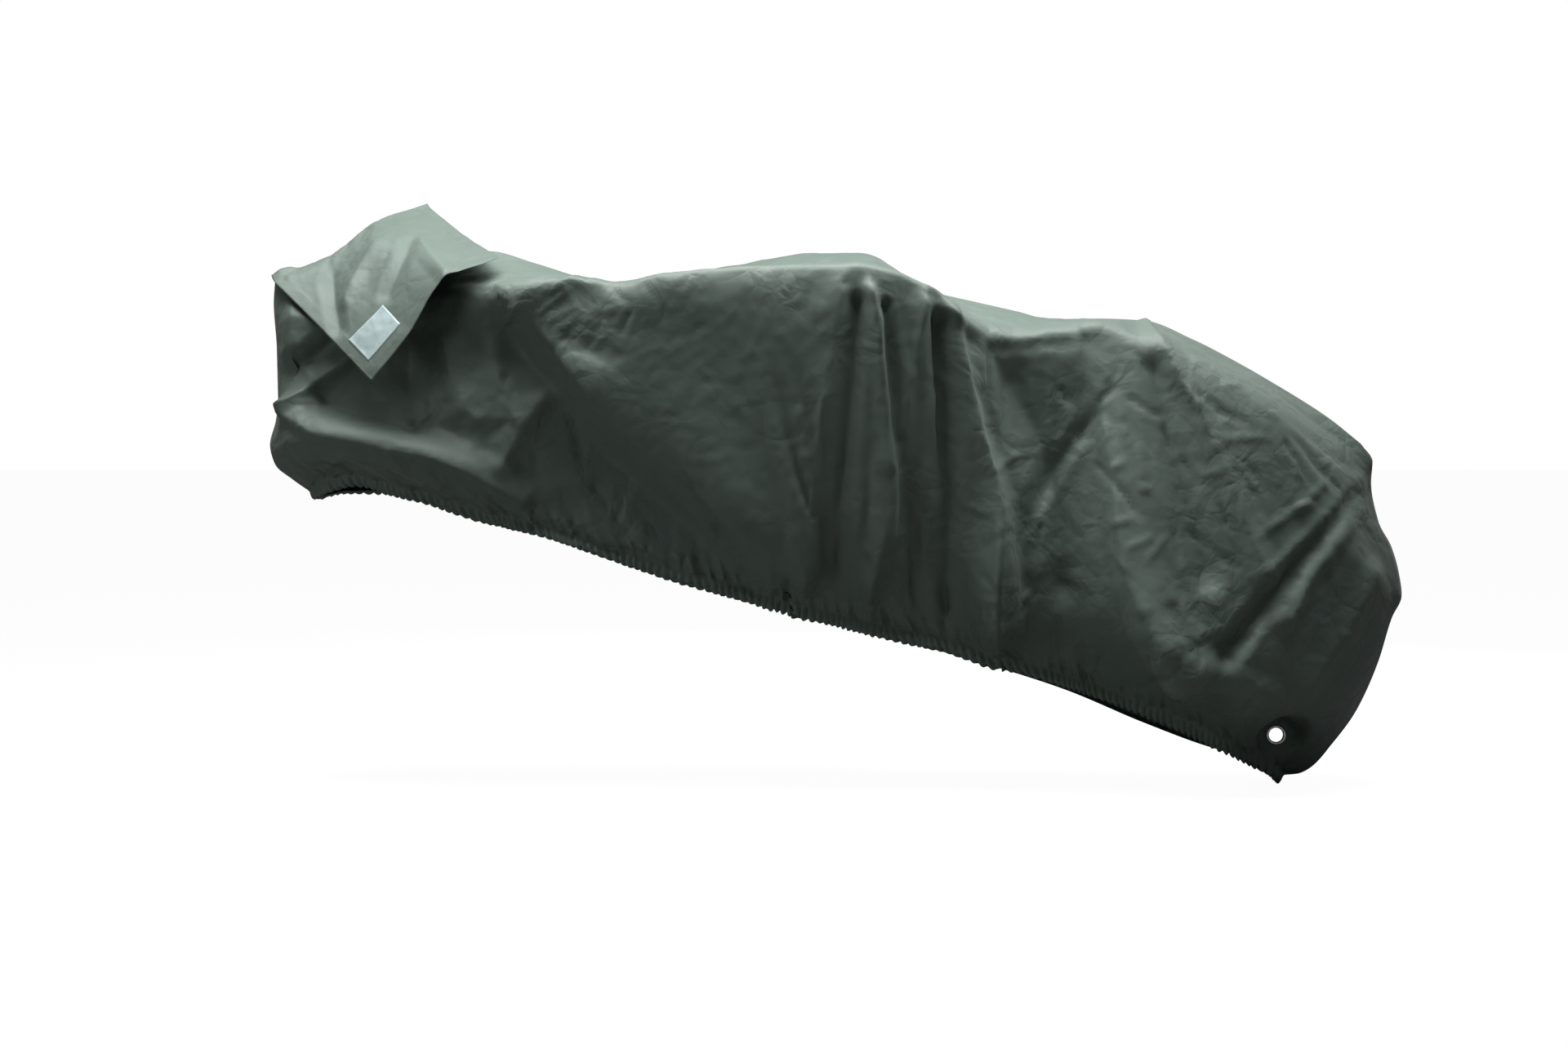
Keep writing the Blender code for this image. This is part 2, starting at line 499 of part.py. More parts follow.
def add_panel(name, side, rows, material):
    stations, drops = panel_stations(side), panel_drops(rows)
    points, normals = cover_surface(side, stations, drops)
    edges = ((slice(None), 0), (0, slice(None)), (-1, slice(None)))
    outer, inner = mitre(points, normals, side, edges)
    strip = (stations[:-1, None] >= STRIP_FROM - 1e-6) & (drops[None, :-1] >= STRIP_DROP - 1e-6)
    return add_object(name, sheet_mesh(name, outer, inner, ~strip), material)


def add_strip(name, side, material):
    """The eyelet strip: the panel's own surface over its lower rear corner, with the hole."""
    stations = panel_stations(side)
    stations = stations[stations >= STRIP_FROM - 1e-6].copy()
    stations[0] += STRIP_GAP_ALONG
    drops = np.linspace(STRIP_DROP, 1.0, STRIP_ROWS)
    drops[0] += STRIP_GAP_DOWN
    points, normals = cover_surface(side, stations, drops)
    outer, inner = mitre(points, normals, side, ((-1, slice(None)),))
    kept = np.ones((len(stations) - 1, len(drops) - 1), bool)
    strip = add_object(name, sheet_mesh(name, outer, inner, kept), material)
    eyelet = EYELETS[side]
    bpy.ops.mesh.primitive_cylinder_add(vertices=24, radius=NECK_RADIUS + GAP, depth=0.04)
    cutter = bpy.context.object
    cutter.name = name + "_cutter"
    cutter.rotation_euler = (math.pi / 2, 0.0, 0.0)
    cutter.location = in_frame((eyelet.x, eyelet_y(side), eyelet.z)).tolist()
    cutter.hide_render = True
    cutter.display_type = "WIRE"
    cut = strip.modifiers.new("eyelet hole", "BOOLEAN")
    cut.object = cutter
    cut.operation = "DIFFERENCE"
    return strip


def add_ring(name, side, material):
    """A two-flanged eyelet: its profile, radius and depth into the cloth, turned about Y."""
    back = CLOTH + GAP
    profile = ((BORE_RADIUS, -0.0012), (0.0164, -0.0020), (0.0186, -0.0022), (0.0209, -0.0017),
               (FLANGE_RADIUS, -0.0009), (FLANGE_RADIUS, -GAP), (NECK_RADIUS, -GAP),
               (NECK_RADIUS, back), (BACK_RADIUS, back), (BACK_RADIUS, back + 0.0007),
               (0.0164, back + 0.0010), (BORE_RADIUS, back + 0.0005))
    eyelet = EYELETS[side]
    shape = bmesh.new()
    edges = []
    dots = [shape.verts.new((radius, -side * depth, 0.0)) for radius, depth in profile]
    for a, b in zip(dots, dots[1:] + dots[:1]):
        edges.append(shape.edges.new((a, b)))
    bmesh.ops.spin(shape, geom=dots + edges, cent=(0, 0, 0), axis=(0, 1, 0),
                   angle=math.tau, steps=24, use_merge=True)
    bmesh.ops.remove_doubles(shape, verts=shape.verts, dist=0.00001)
    bmesh.ops.recalc_face_normals(shape, faces=shape.faces)
    mesh = bpy.data.meshes.new(name)
    shape.to_mesh(mesh)
    shape.free()
    ring = add_object(name, mesh, material)
    ring.location = in_frame((eyelet.x, eyelet_y(side), eyelet.z)).tolist()
    return ring


def sewn_line(over):
    """Places of the flap's sewn edge: along a row of the far panel's grid, a seat above it."""
    points, normals = cover_surface(FAR, panel_stations(FAR), panel_drops(FAR_ROWS))
    seat = points + normals * (SEAM_SEAT + FLAP_CLOTH)
    row = seat[SEWN_FROM:SEWN_TO + 1, SEWN_ROW]
    at = np.linspace(0.0, 1.0, len(row))
    return np.stack([np.interp(over, at, row[:, axis]) for axis in range(3)], axis=1)


def flap_grid(cover):
    """Outer points and normals of the flap, held clear of the cover that it lies on. Its last
    column is sewn down along the far panel."""
    across = np.linspace(0.0, 1.0, FLAP_COLUMNS)
    over = np.linspace(0.0, 1.0, FLAP_ROWS)
    sewn = sewn_line(np.array(FRONT_TO_REAR))
    table = np.array([(*line, tuple(place)) for line, place in zip(FLAP_LINES, sewn)])
    lines = through(FRONT_TO_REAR, table, over)
    knots = (LOOSE_EDGE, FLAP_MIDDLE, CREST, SEWN_EDGE)
    points = through(knots, lines.transpose(1, 0, 2), across)
    normals = surface_normals(points, NEAR)
    points += normals * fold_rise(points[:, :, 0], points[:, :, 2], FLAP_FOLDS)[:, :, None]
    normals = surface_normals(points, NEAR)
    for i, j in np.ndindex(points.shape[:2]):
        place, face_normal, _, _ = cover.find_nearest(Vector(points[i, j]))
        lift = (Vector(points[i, j]) - place).dot(face_normal)
        if lift < CLEAR + FLAP_CLOTH:
            points[i, j] += np.array(face_normal) * (CLEAR + FLAP_CLOTH - lift)
    points[-1] = sewn_line(over)
    return points, surface_normals(points, NEAR)


def add_flap(name, points, normals, material):
    inner = points - normals * FLAP_CLOTH
    kept = np.ones((FLAP_COLUMNS - 1, FLAP_ROWS - 1), bool)
    return add_object(name, sheet_mesh(name, points, inner, kept), material)


def add_label(name, points, normals, material):
    """The patch lies on whole cells of the flap's grid, a gap above them."""
    cells = (slice(LABEL_COLUMNS[0], LABEL_COLUMNS[1] + 1),
             slice(LABEL_ROWS[0], LABEL_ROWS[1] + 1))
    bottom = points[cells] + normals[cells] * GAP
    outer = bottom + normals[cells] * LABEL_THICK
    kept = np.ones((outer.shape[0] - 1, outer.shape[1] - 1), bool)
    return add_object(name, sheet_mesh(name, outer, bottom, kept), material)


def outer_faces():
    """A search tree of both panels' outer faces, to seat the flap on."""
    vertices, faces = [], []
    for side, rows in ((NEAR, NEAR_ROWS), (FAR, FAR_ROWS)):
        points, _ = cover_surface(side, panel_stations(side), panel_drops(rows))
        first = len(vertices)
        number = first + np.arange(points.shape[0] * rows).reshape(-1, rows)
        vertices += points.reshape(-1, 3).tolist()
        corners = (number[:-1, :-1], number[1:, :-1], number[1:, 1:], number[:-1, 1:])
        a, b, c, d = (corner.ravel().tolist() for corner in corners)
        for face in [*zip(a, b, c), *zip(a, c, d)]:
            faces.append(face if side == FAR else face[::-1])
    return BVHTree.FromPolygons(vertices, faces)


def main():
    clear_scene()
    cloth = finish("coated cloth", COVER_GREEN, 0.62, 0.0)
    woven = finish("woven label", LABEL_GREY, 0.5, 0.0)
    metal = finish("eyelet metal", STEEL, 0.3, 1.0)
    add_panel("near_panel", NEAR, NEAR_ROWS, cloth)
    add_panel("far_panel", FAR, FAR_ROWS, cloth)
    for side, word in ((NEAR, "near"), (FAR, "far")):
        add_strip(word + "_eyelet_strip", side, cloth)
        add_ring(word + "_eyelet_ring", side, metal)
    points, normals = flap_grid(outer_faces())
    add_flap("front_flap", points, normals, cloth)
    add_label("label_patch", points, normals, woven)


main()
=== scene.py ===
"""Bicycle cover, tandem size: the looks of the draped cloth, its flap, label and eyelets.

Every piece is a grid worked out from the same named places as the solid: down each section
of a side, along the seam, and over the flap. Places are x along the cover (rear is +X), `out`
from the leaning middle plane to either side, and z above the ground, until in_frame moves
them to the frame, whose origin is the hold under the top. The near side is -Y.
"""

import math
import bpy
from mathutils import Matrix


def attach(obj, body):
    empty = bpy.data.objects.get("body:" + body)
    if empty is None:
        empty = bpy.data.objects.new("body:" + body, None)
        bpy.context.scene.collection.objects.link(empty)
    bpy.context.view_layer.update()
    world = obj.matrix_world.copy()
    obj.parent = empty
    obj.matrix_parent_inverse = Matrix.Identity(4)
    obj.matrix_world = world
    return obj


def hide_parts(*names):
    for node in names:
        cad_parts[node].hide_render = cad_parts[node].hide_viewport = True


bl_info = {
    "name": "Bicycle Cover",
    "version": (1, 0, 0),
    "blender": (4, 5, 0),
    "location": "3D View > Sidebar > Cover",
    "description": "A draped tandem cover of coated cloth, with its flap, label and eyelets",
    "category": "Object",
}

from collections import namedtuple

import bpy
import numpy as np
from mathutils import Vector

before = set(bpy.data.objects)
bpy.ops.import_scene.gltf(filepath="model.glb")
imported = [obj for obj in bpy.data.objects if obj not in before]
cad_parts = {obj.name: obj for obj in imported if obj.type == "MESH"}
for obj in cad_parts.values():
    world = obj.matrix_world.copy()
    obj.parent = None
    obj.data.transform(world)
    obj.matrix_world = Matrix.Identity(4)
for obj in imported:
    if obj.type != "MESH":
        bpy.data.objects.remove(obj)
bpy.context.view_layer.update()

# ---------------------------------------------------------------- the cover's own places

HOLD = (0.15, 0.0, 1.128)  # where the cover is held, under its top at the rear handlebar
LEAN = 0.09  # sideways drift of the middle plane for each metre of height
GAP = 0.0003  # between pieces that touch
NEAR = -1.0
FAR = 1.0

# Relative distance down a section from the seam at which its named places lie.
SHOULDER, WAIST, BELLY, HEM = 0.22, 0.45, 0.72, 1.0

# The eyelets: place of each centre, and how far out the flattened cloth around it lies.
Eyelet = namedtuple("Eyelet", "x z out")
EYELETS = {NEAR: Eyelet(1.066, 0.114, 0.056), FAR: Eyelet(1.087, 0.100, 0.056)}
FLAT_RADIUS, FLAT_FADE, HOLE_RADIUS = 0.036, 0.065, 0.0172

# Height of the seam along the top, front to rear.
SEAM_TOP = (
    (-1.088, 1.090), (-1.030, 1.086), (-0.950, 1.096), (-0.860, 1.118), (-0.740, 1.145),
    (-0.630, 1.156), (-0.530, 1.130), (-0.420, 1.098), (-0.280, 1.080), (-0.130, 1.084),
    (0.000, 1.100), (0.100, 1.126), (0.153, 1.134), (0.210, 1.114), (0.300, 1.075),
    (0.420, 1.046), (0.500, 1.028), (0.570, 1.012), (0.670, 1.013), (0.770, 1.009),
    (0.880, 0.967), (0.950, 0.932), (1.052, 0.875), (1.170, 0.802), (1.243, 0.745),
)

# The front and rear edges: relative distance down, x, z.
FRONT_EDGE = (
    (0.00, -1.088, 1.090), (0.10, -1.092, 1.040), (0.27, -1.088, 0.950), (0.46, -1.088, 0.840),
    (0.56, -1.094, 0.795), (0.66, -1.108, 0.742), (0.75, -1.098, 0.700), (0.86, -1.062, 0.668),
    (1.00, -1.008, 0.630),
)
REAR_EDGE = (
    (0.000, 1.243, 0.745), (0.053, 1.270, 0.705), (0.100, 1.268, 0.665), (0.207, 1.287, 0.575),
    (0.276, 1.316, 0.522), (0.346, 1.334, 0.465), (0.406, 1.342, 0.414), (0.468, 1.322, 0.365),
    (0.584, 1.295, 0.267), (0.716, 1.251, 0.161), (0.818, 1.201, 0.088), (0.903, 1.153, 0.033),
    (0.938, 1.125, 0.020), (1.000, 1.072, 0.016),
)

# A section of one side: the seam's x, then x, out and z of its four places below the seam.
Section = namedtuple("Section", "at shoulder waist belly hem")
NEAR_SECTIONS = (
    Section(-1.030, (-1.045, 0.080, 1.010), (-1.045, 0.085, 0.865), (-1.055, 0.115, 0.752),
            (-0.955, 0.060, 0.652)),
    Section(-0.950, (-0.965, 0.090, 0.985), (-0.970, 0.085, 0.880), (-0.985, 0.165, 0.758),
            (-0.892, 0.075, 0.668)),
    Section(-0.850, (-0.870, 0.085, 1.005), (-0.880, 0.070, 0.900), (-0.895, 0.190, 0.755),
            (-0.814, 0.085, 0.645)),
    Section(-0.740, (-0.760, 0.100, 1.045), (-0.780, 0.090, 0.910), (-0.795, 0.195, 0.742),
            (-0.735, 0.090, 0.624)),
    Section(-0.630, (-0.650, 0.165, 1.060), (-0.680, 0.125, 0.915), (-0.700, 0.180, 0.715),
            (-0.652, 0.095, 0.592)),
    Section(-0.540, (-0.545, 0.222, 1.062), (-0.585, 0.150, 0.920), (-0.605, 0.160, 0.712),
            (-0.568, 0.100, 0.567)),
    Section(-0.460, (-0.437, 0.235, 1.084), (-0.490, 0.205, 0.935), (-0.520, 0.145, 0.705),
            (-0.490, 0.105, 0.543)),
    Section(-0.370, (-0.345, 0.228, 1.080), (-0.385, 0.262, 0.925), (-0.410, 0.150, 0.695),
            (-0.392, 0.105, 0.508)),
    Section(-0.270, (-0.250, 0.250, 1.098), (-0.285, 0.278, 0.915), (-0.310, 0.180, 0.680),
            (-0.302, 0.105, 0.478)),
    Section(-0.060, (-0.055, 0.248, 1.114), (-0.065, 0.288, 0.900), (-0.075, 0.262, 0.630),
            (-0.080, 0.120, 0.414)),
    Section(0.140, (0.145, 0.265, 1.114), (0.140, 0.286, 0.875), (0.130, 0.268, 0.592),
            (0.122, 0.125, 0.362)),
    Section(0.300, (0.300, 0.250, 1.072), (0.305, 0.245, 0.845), (0.305, 0.240, 0.562),
            (0.307, 0.125, 0.313)),
    Section(0.420, (0.424, 0.165, 0.958), (0.430, 0.190, 0.785), (0.440, 0.215, 0.502),
            (0.450, 0.120, 0.276)),
    Section(0.600, (0.600, 0.140, 0.985), (0.605, 0.160, 0.805), (0.612, 0.215, 0.460),
            (0.630, 0.112, 0.220)),
    Section(0.790, (0.797, 0.165, 0.945), (0.800, 0.222, 0.718), (0.800, 0.278, 0.340),
            (0.800, 0.118, 0.162)),
    Section(0.960, (0.985, 0.178, 0.836), (0.990, 0.236, 0.600), (0.965, 0.282, 0.255),
            (0.920, 0.126, 0.106)),
    Section(1.120, (1.155, 0.140, 0.694), (1.190, 0.180, 0.480), (1.130, 0.176, 0.200),
            (1.008, 0.064, 0.055)),
    Section(1.200, (1.232, 0.080, 0.616), (1.280, 0.095, 0.415), (1.212, 0.086, 0.180),
            (1.047, 0.045, 0.030)),
)
FAR_SECTIONS = (
    Section(-1.030, (-1.035, 0.055, 1.035), (-1.045, 0.120, 0.880), (-1.055, 0.120, 0.745),
            (-0.955, 0.080, 0.640)),
    Section(-0.860, (-0.870, 0.140, 1.165), (-0.890, 0.225, 0.960), (-0.905, 0.210, 0.745),
            (-0.830, 0.120, 0.640)),
    Section(-0.740, (-0.775, 0.215, 1.205), (-0.785, 0.250, 0.960), (-0.790, 0.215, 0.730),
            (-0.740, 0.130, 0.612)),
    Section(-0.600, (-0.650, 0.240, 1.150), (-0.660, 0.240, 0.910), (-0.670, 0.205, 0.700),
            (-0.620, 0.140, 0.575)),
    Section(-0.420, (-0.430, 0.250, 1.065), (-0.450, 0.240, 0.860), (-0.460, 0.195, 0.660),
            (-0.430, 0.145, 0.515)),
    Section(-0.130, (-0.130, 0.262, 1.140), (-0.140, 0.255, 0.880), (-0.150, 0.215, 0.610),
            (-0.150, 0.150, 0.420)),
    Section(0.090, (0.085, 0.280, 1.171), (0.095, 0.272, 0.930), (0.100, 0.235, 0.605),
            (0.095, 0.155, 0.352)),
    Section(0.170, (0.170, 0.280, 1.171), (0.170, 0.268, 0.925), (0.170, 0.232, 0.590),
            (0.165, 0.155, 0.332)),
    Section(0.280, (0.285, 0.240, 1.108), (0.288, 0.225, 0.860), (0.292, 0.205, 0.540),
            (0.300, 0.150, 0.292)),
    Section(0.420, (0.424, 0.168, 0.975), (0.430, 0.180, 0.790), (0.440, 0.185, 0.500),
            (0.450, 0.140, 0.250)),
    Section(0.600, (0.600, 0.118, 0.988), (0.605, 0.160, 0.800), (0.612, 0.172, 0.455),
            (0.630, 0.130, 0.192)),
    Section(0.790, (0.797, 0.135, 0.955), (0.800, 0.178, 0.710), (0.800, 0.180, 0.380),
            (0.790, 0.115, 0.125)),
    Section(0.960, (0.985, 0.140, 0.838), (0.990, 0.176, 0.600), (0.970, 0.168, 0.305),
            (0.910, 0.090, 0.080)),
    Section(1.120, (1.155, 0.108, 0.692), (1.190, 0.136, 0.480), (1.140, 0.120, 0.225),
            (1.005, 0.062, 0.050)),
    Section(1.200, (1.232, 0.052, 0.620), (1.280, 0.075, 0.415), (1.212, 0.080, 0.180),
            (1.047, 0.045, 0.028)),
)

# A fold: its line through (x, z) points, half its width and its rise at both ends. A rise
# below zero is a trough. Lean widens the flank on the left of the line and narrows the other.
Fold = namedtuple("Fold", "line reach rise lean", defaults=(0.0,))
NEAR_FOLDS = {
    "swoop edge": Fold(((-0.560, 1.040), (-0.500, 0.990), (-0.455, 0.925), (-0.395, 0.838),
                        (-0.313, 0.755), (-0.220, 0.680), (-0.132, 0.600), (-0.068, 0.530),
                        (-0.010, 0.450)), (0.060, 0.110), (0.020, 0.052), 0.60),
    "hollow under the swoop": Fold(((-0.600, 0.980), (-0.520, 0.880), (-0.430, 0.760),
                                    (-0.330, 0.660), (-0.220, 0.570), (-0.120, 0.480)),
                                   (0.080, 0.090), (-0.036, -0.046)),
    "first pleat edge": Fold(((0.120, 1.060), (0.106, 0.979), (0.089, 0.779), (0.068, 0.613),
                              (0.049, 0.440)), (0.040, 0.055), (0.014, 0.026), -0.45),
    "first pleat trough": Fold(((0.150, 1.040), (0.140, 0.900), (0.120, 0.700), (0.098, 0.480)),
                               (0.026, 0.045), (-0.024, -0.036)),
    "knife pleat": Fold(((0.178, 1.065), (0.190, 1.009), (0.203, 0.857), (0.212, 0.700)),
                        (0.024, 0.028), (0.024, 0.018), -0.30),
    "knife pleat shade": Fold(((0.206, 1.030), (0.226, 0.860), (0.238, 0.700)),
                              (0.020, 0.024), (-0.018, -0.012)),
    "broad pleat": Fold(((0.290, 1.039), (0.269, 0.955), (0.251, 0.851), (0.229, 0.679),
                         (0.205, 0.542), (0.171, 0.370)), (0.035, 0.050), (0.022, 0.034), -0.20),
    "cape trough": Fold(((0.318, 1.000), (0.318, 0.880), (0.325, 0.760), (0.345, 0.640),
                         (0.350, 0.480), (0.340, 0.360)), (0.035, 0.055), (-0.032, -0.036)),
    "cape ridge": Fold(((0.337, 1.024), (0.361, 0.900), (0.388, 0.775), (0.430, 0.677),
                        (0.446, 0.608), (0.452, 0.469), (0.457, 0.320)),
                       (0.032, 0.085), (0.026, 0.085), -0.25),
    "cape hollow": Fold(((0.480, 0.860), (0.540, 0.760), (0.575, 0.620), (0.580, 0.440)),
                        (0.080, 0.095), (-0.010, -0.050)),
    "valley rim": Fold(((0.345, 1.010), (0.416, 0.958), (0.494, 0.964), (0.562, 0.978),
                        (0.632, 0.984), (0.767, 1.000)), (0.030, 0.032), (0.016, 0.014), 0.20),
    "shoulder hollow": Fold(((0.470, 0.870), (0.530, 0.865), (0.600, 0.840)),
                            (0.105, 0.115), (-0.014, -0.010)),
    "saddle lobe": Fold(((0.628, 0.950), (0.664, 0.828), (0.689, 0.705), (0.700, 0.587),
                         (0.725, 0.460), (0.763, 0.368), (0.834, 0.262)),
                        (0.060, 0.085), (0.014, 0.070), 0.25),
    "lobe shade": Fold(((0.655, 0.812), (0.578, 0.721), (0.510, 0.602), (0.499, 0.444)),
                       (0.034, 0.044), (-0.014, -0.030)),
    "behind the lobe": Fold(((0.770, 0.900), (0.800, 0.760), (0.840, 0.620), (0.880, 0.480)),
                            (0.048, 0.060), (-0.020, -0.026)),
    "second ridge": Fold(((0.764, 0.995), (0.803, 0.911), (0.860, 0.811), (0.912, 0.696),
                          (0.949, 0.585), (0.994, 0.477)), (0.034, 0.045), (0.016, 0.024), 0.20),
    "rear band": Fold(((1.225, 0.640), (1.130, 0.548), (1.030, 0.446), (0.962, 0.370),
                       (0.915, 0.304)), (0.040, 0.042), (-0.026, -0.030)),
    "rear band ridge": Fold(((1.245, 0.665), (1.165, 0.566), (1.098, 0.486), (1.047, 0.384)),
                            (0.044, 0.044), (0.020, 0.022)),
    "rear tip ridge": Fold(((1.255, 0.470), (1.170, 0.330), (1.100, 0.235)),
                           (0.050, 0.050), (0.014, 0.014)),
    "tuck": Fold(((0.800, 0.400), (0.850, 0.305), (0.900, 0.330), (0.960, 0.345)),
                 (0.026, 0.026), (-0.010, -0.010)),
    "front roll": Fold(((-1.060, 0.806), (-0.987, 0.768), (-0.907, 0.757), (-0.835, 0.744),
                        (-0.753, 0.726), (-0.686, 0.702), (-0.618, 0.668), (-0.555, 0.630)),
                       (0.040, 0.048), (0.018, 0.036), 0.40),
    "second roll": Fold(((-1.010, 0.715), (-0.917, 0.722), (-0.845, 0.716), (-0.790, 0.694),
                         (-0.720, 0.662)), (0.026, 0.028), (0.014, 0.014), 0.20),
    "hollow over the roll": Fold(((-0.980, 0.850), (-0.880, 0.825), (-0.770, 0.805),
                                  (-0.680, 0.775)), (0.060, 0.055), (-0.036, -0.024)),
    "pull fold": Fold(((-1.062, 0.827), (-1.018, 0.854), (-0.967, 0.895), (-0.920, 0.935)),
                      (0.030, 0.032), (0.022, 0.020)),
    "pull trough": Fold(((-1.055, 0.900), (-1.000, 0.925), (-0.950, 0.965)),
                        (0.050, 0.050), (-0.030, -0.028)),
    "fork hollow": Fold(((-0.800, 0.980), (-0.800, 0.880), (-0.775, 0.800)),
                        (0.060, 0.060), (-0.030, -0.026)),
    "front belly": Fold(((-0.705, 0.950), (-0.686, 0.869), (-0.652, 0.800)),
                        (0.060, 0.060), (0.024, 0.020)),
    "soft ridge": Fold(((-0.616, 0.991), (-0.598, 0.890), (-0.557, 0.811)),
                       (0.032, 0.038), (0.016, 0.016)),
    "fender ridge": Fold(((-0.515, 0.835), (-0.550, 0.774), (-0.594, 0.705)),
                         (0.045, 0.045), (0.026, 0.022)),
}
FAR_FOLDS = {
    "far grip ridge": Fold(((-0.795, 1.200), (-0.850, 0.980), (-0.900, 0.800)),
                           (0.050, 0.080), (0.012, 0.020)),
    "far grip rear ridge": Fold(((-0.740, 1.160), (-0.640, 0.960), (-0.520, 0.760),
                                 (-0.420, 0.600)), (0.050, 0.090), (0.016, 0.030)),
    "far grip trough": Fold(((-0.780, 1.080), (-0.760, 0.900), (-0.740, 0.760)),
                            (0.045, 0.070), (-0.018, -0.026)),
    "far swag": Fold(((-0.300, 0.980), (-0.180, 0.760), (-0.080, 0.560)),
                     (0.110, 0.110), (-0.024, -0.026)),
    "far bar front pleat": Fold(((0.090, 1.120), (0.040, 0.880), (0.010, 0.600)),
                                (0.040, 0.060), (0.018, 0.020)),
    "far bar trough": Fold(((0.140, 1.100), (0.130, 0.850), (0.130, 0.560)),
                           (0.040, 0.055), (-0.022, -0.024)),
    "far bar rear pleat": Fold(((0.185, 1.120), (0.220, 0.880), (0.250, 0.560)),
                               (0.040, 0.060), (0.020, 0.020)),
    "far rear trough": Fold(((0.330, 0.980), (0.380, 0.760), (0.430, 0.460)),
                            (0.060, 0.070), (-0.026, -0.024)),
    "far saddle ridge": Fold(((0.620, 0.940), (0.660, 0.700), (0.720, 0.420)),
                             (0.060, 0.075), (0.016, 0.024)),
    "far rear ridge": Fold(((1.180, 0.660), (1.060, 0.480), (0.960, 0.320)),
                           (0.045, 0.050), (0.016, 0.016)),
    "far front roll": Fold(((-1.040, 0.800), (-0.920, 0.765), (-0.760, 0.725), (-0.620, 0.665)),
                           (0.040, 0.045), (0.020, 0.020)),
}

# The flap: lines from its loose edge on the near side over the crest, then down to its sewn
# edge. The first line is its front edge, the last its rear edge. Places are x, y and z.
FlapLine = namedtuple("FlapLine", "loose middle crest")
FLAP_LINES = (
    FlapLine((-0.850, -0.205, 0.885), (-0.970, -0.104, 0.994), (-1.092, -0.002, 1.102)),
    FlapLine((-0.776, -0.212, 0.976), (-0.882, -0.085, 1.072), (-0.985, 0.062, 1.150)),
    FlapLine((-0.702, -0.208, 1.088), (-0.800, -0.030, 1.172), (-0.892, 0.150, 1.232)),
    FlapLine((-0.597, -0.135, 1.140), (-0.690, 0.050, 1.198), (-0.792, 0.220, 1.275)),
)
FLAP_FOLDS = {
    "flap trough": Fold(((-0.965, 1.110), (-0.950, 1.050), (-0.935, 0.990)),
                        (0.035, 0.030), (-0.016, -0.012)),
    "flap ridge": Fold(((-0.870, 1.165), (-0.900, 1.110), (-0.925, 1.050)),
                       (0.040, 0.035), (0.014, 0.010)),
    "flap second trough": Fold(((-0.800, 1.165), (-0.815, 1.110), (-0.830, 1.060)),
                               (0.035, 0.030), (-0.014, -0.010)),
    "flap turn": Fold(((-0.772, 1.172), (-0.737, 1.135), (-0.698, 1.100)),
                      (0.030, 0.030), (0.012, 0.010)),
}

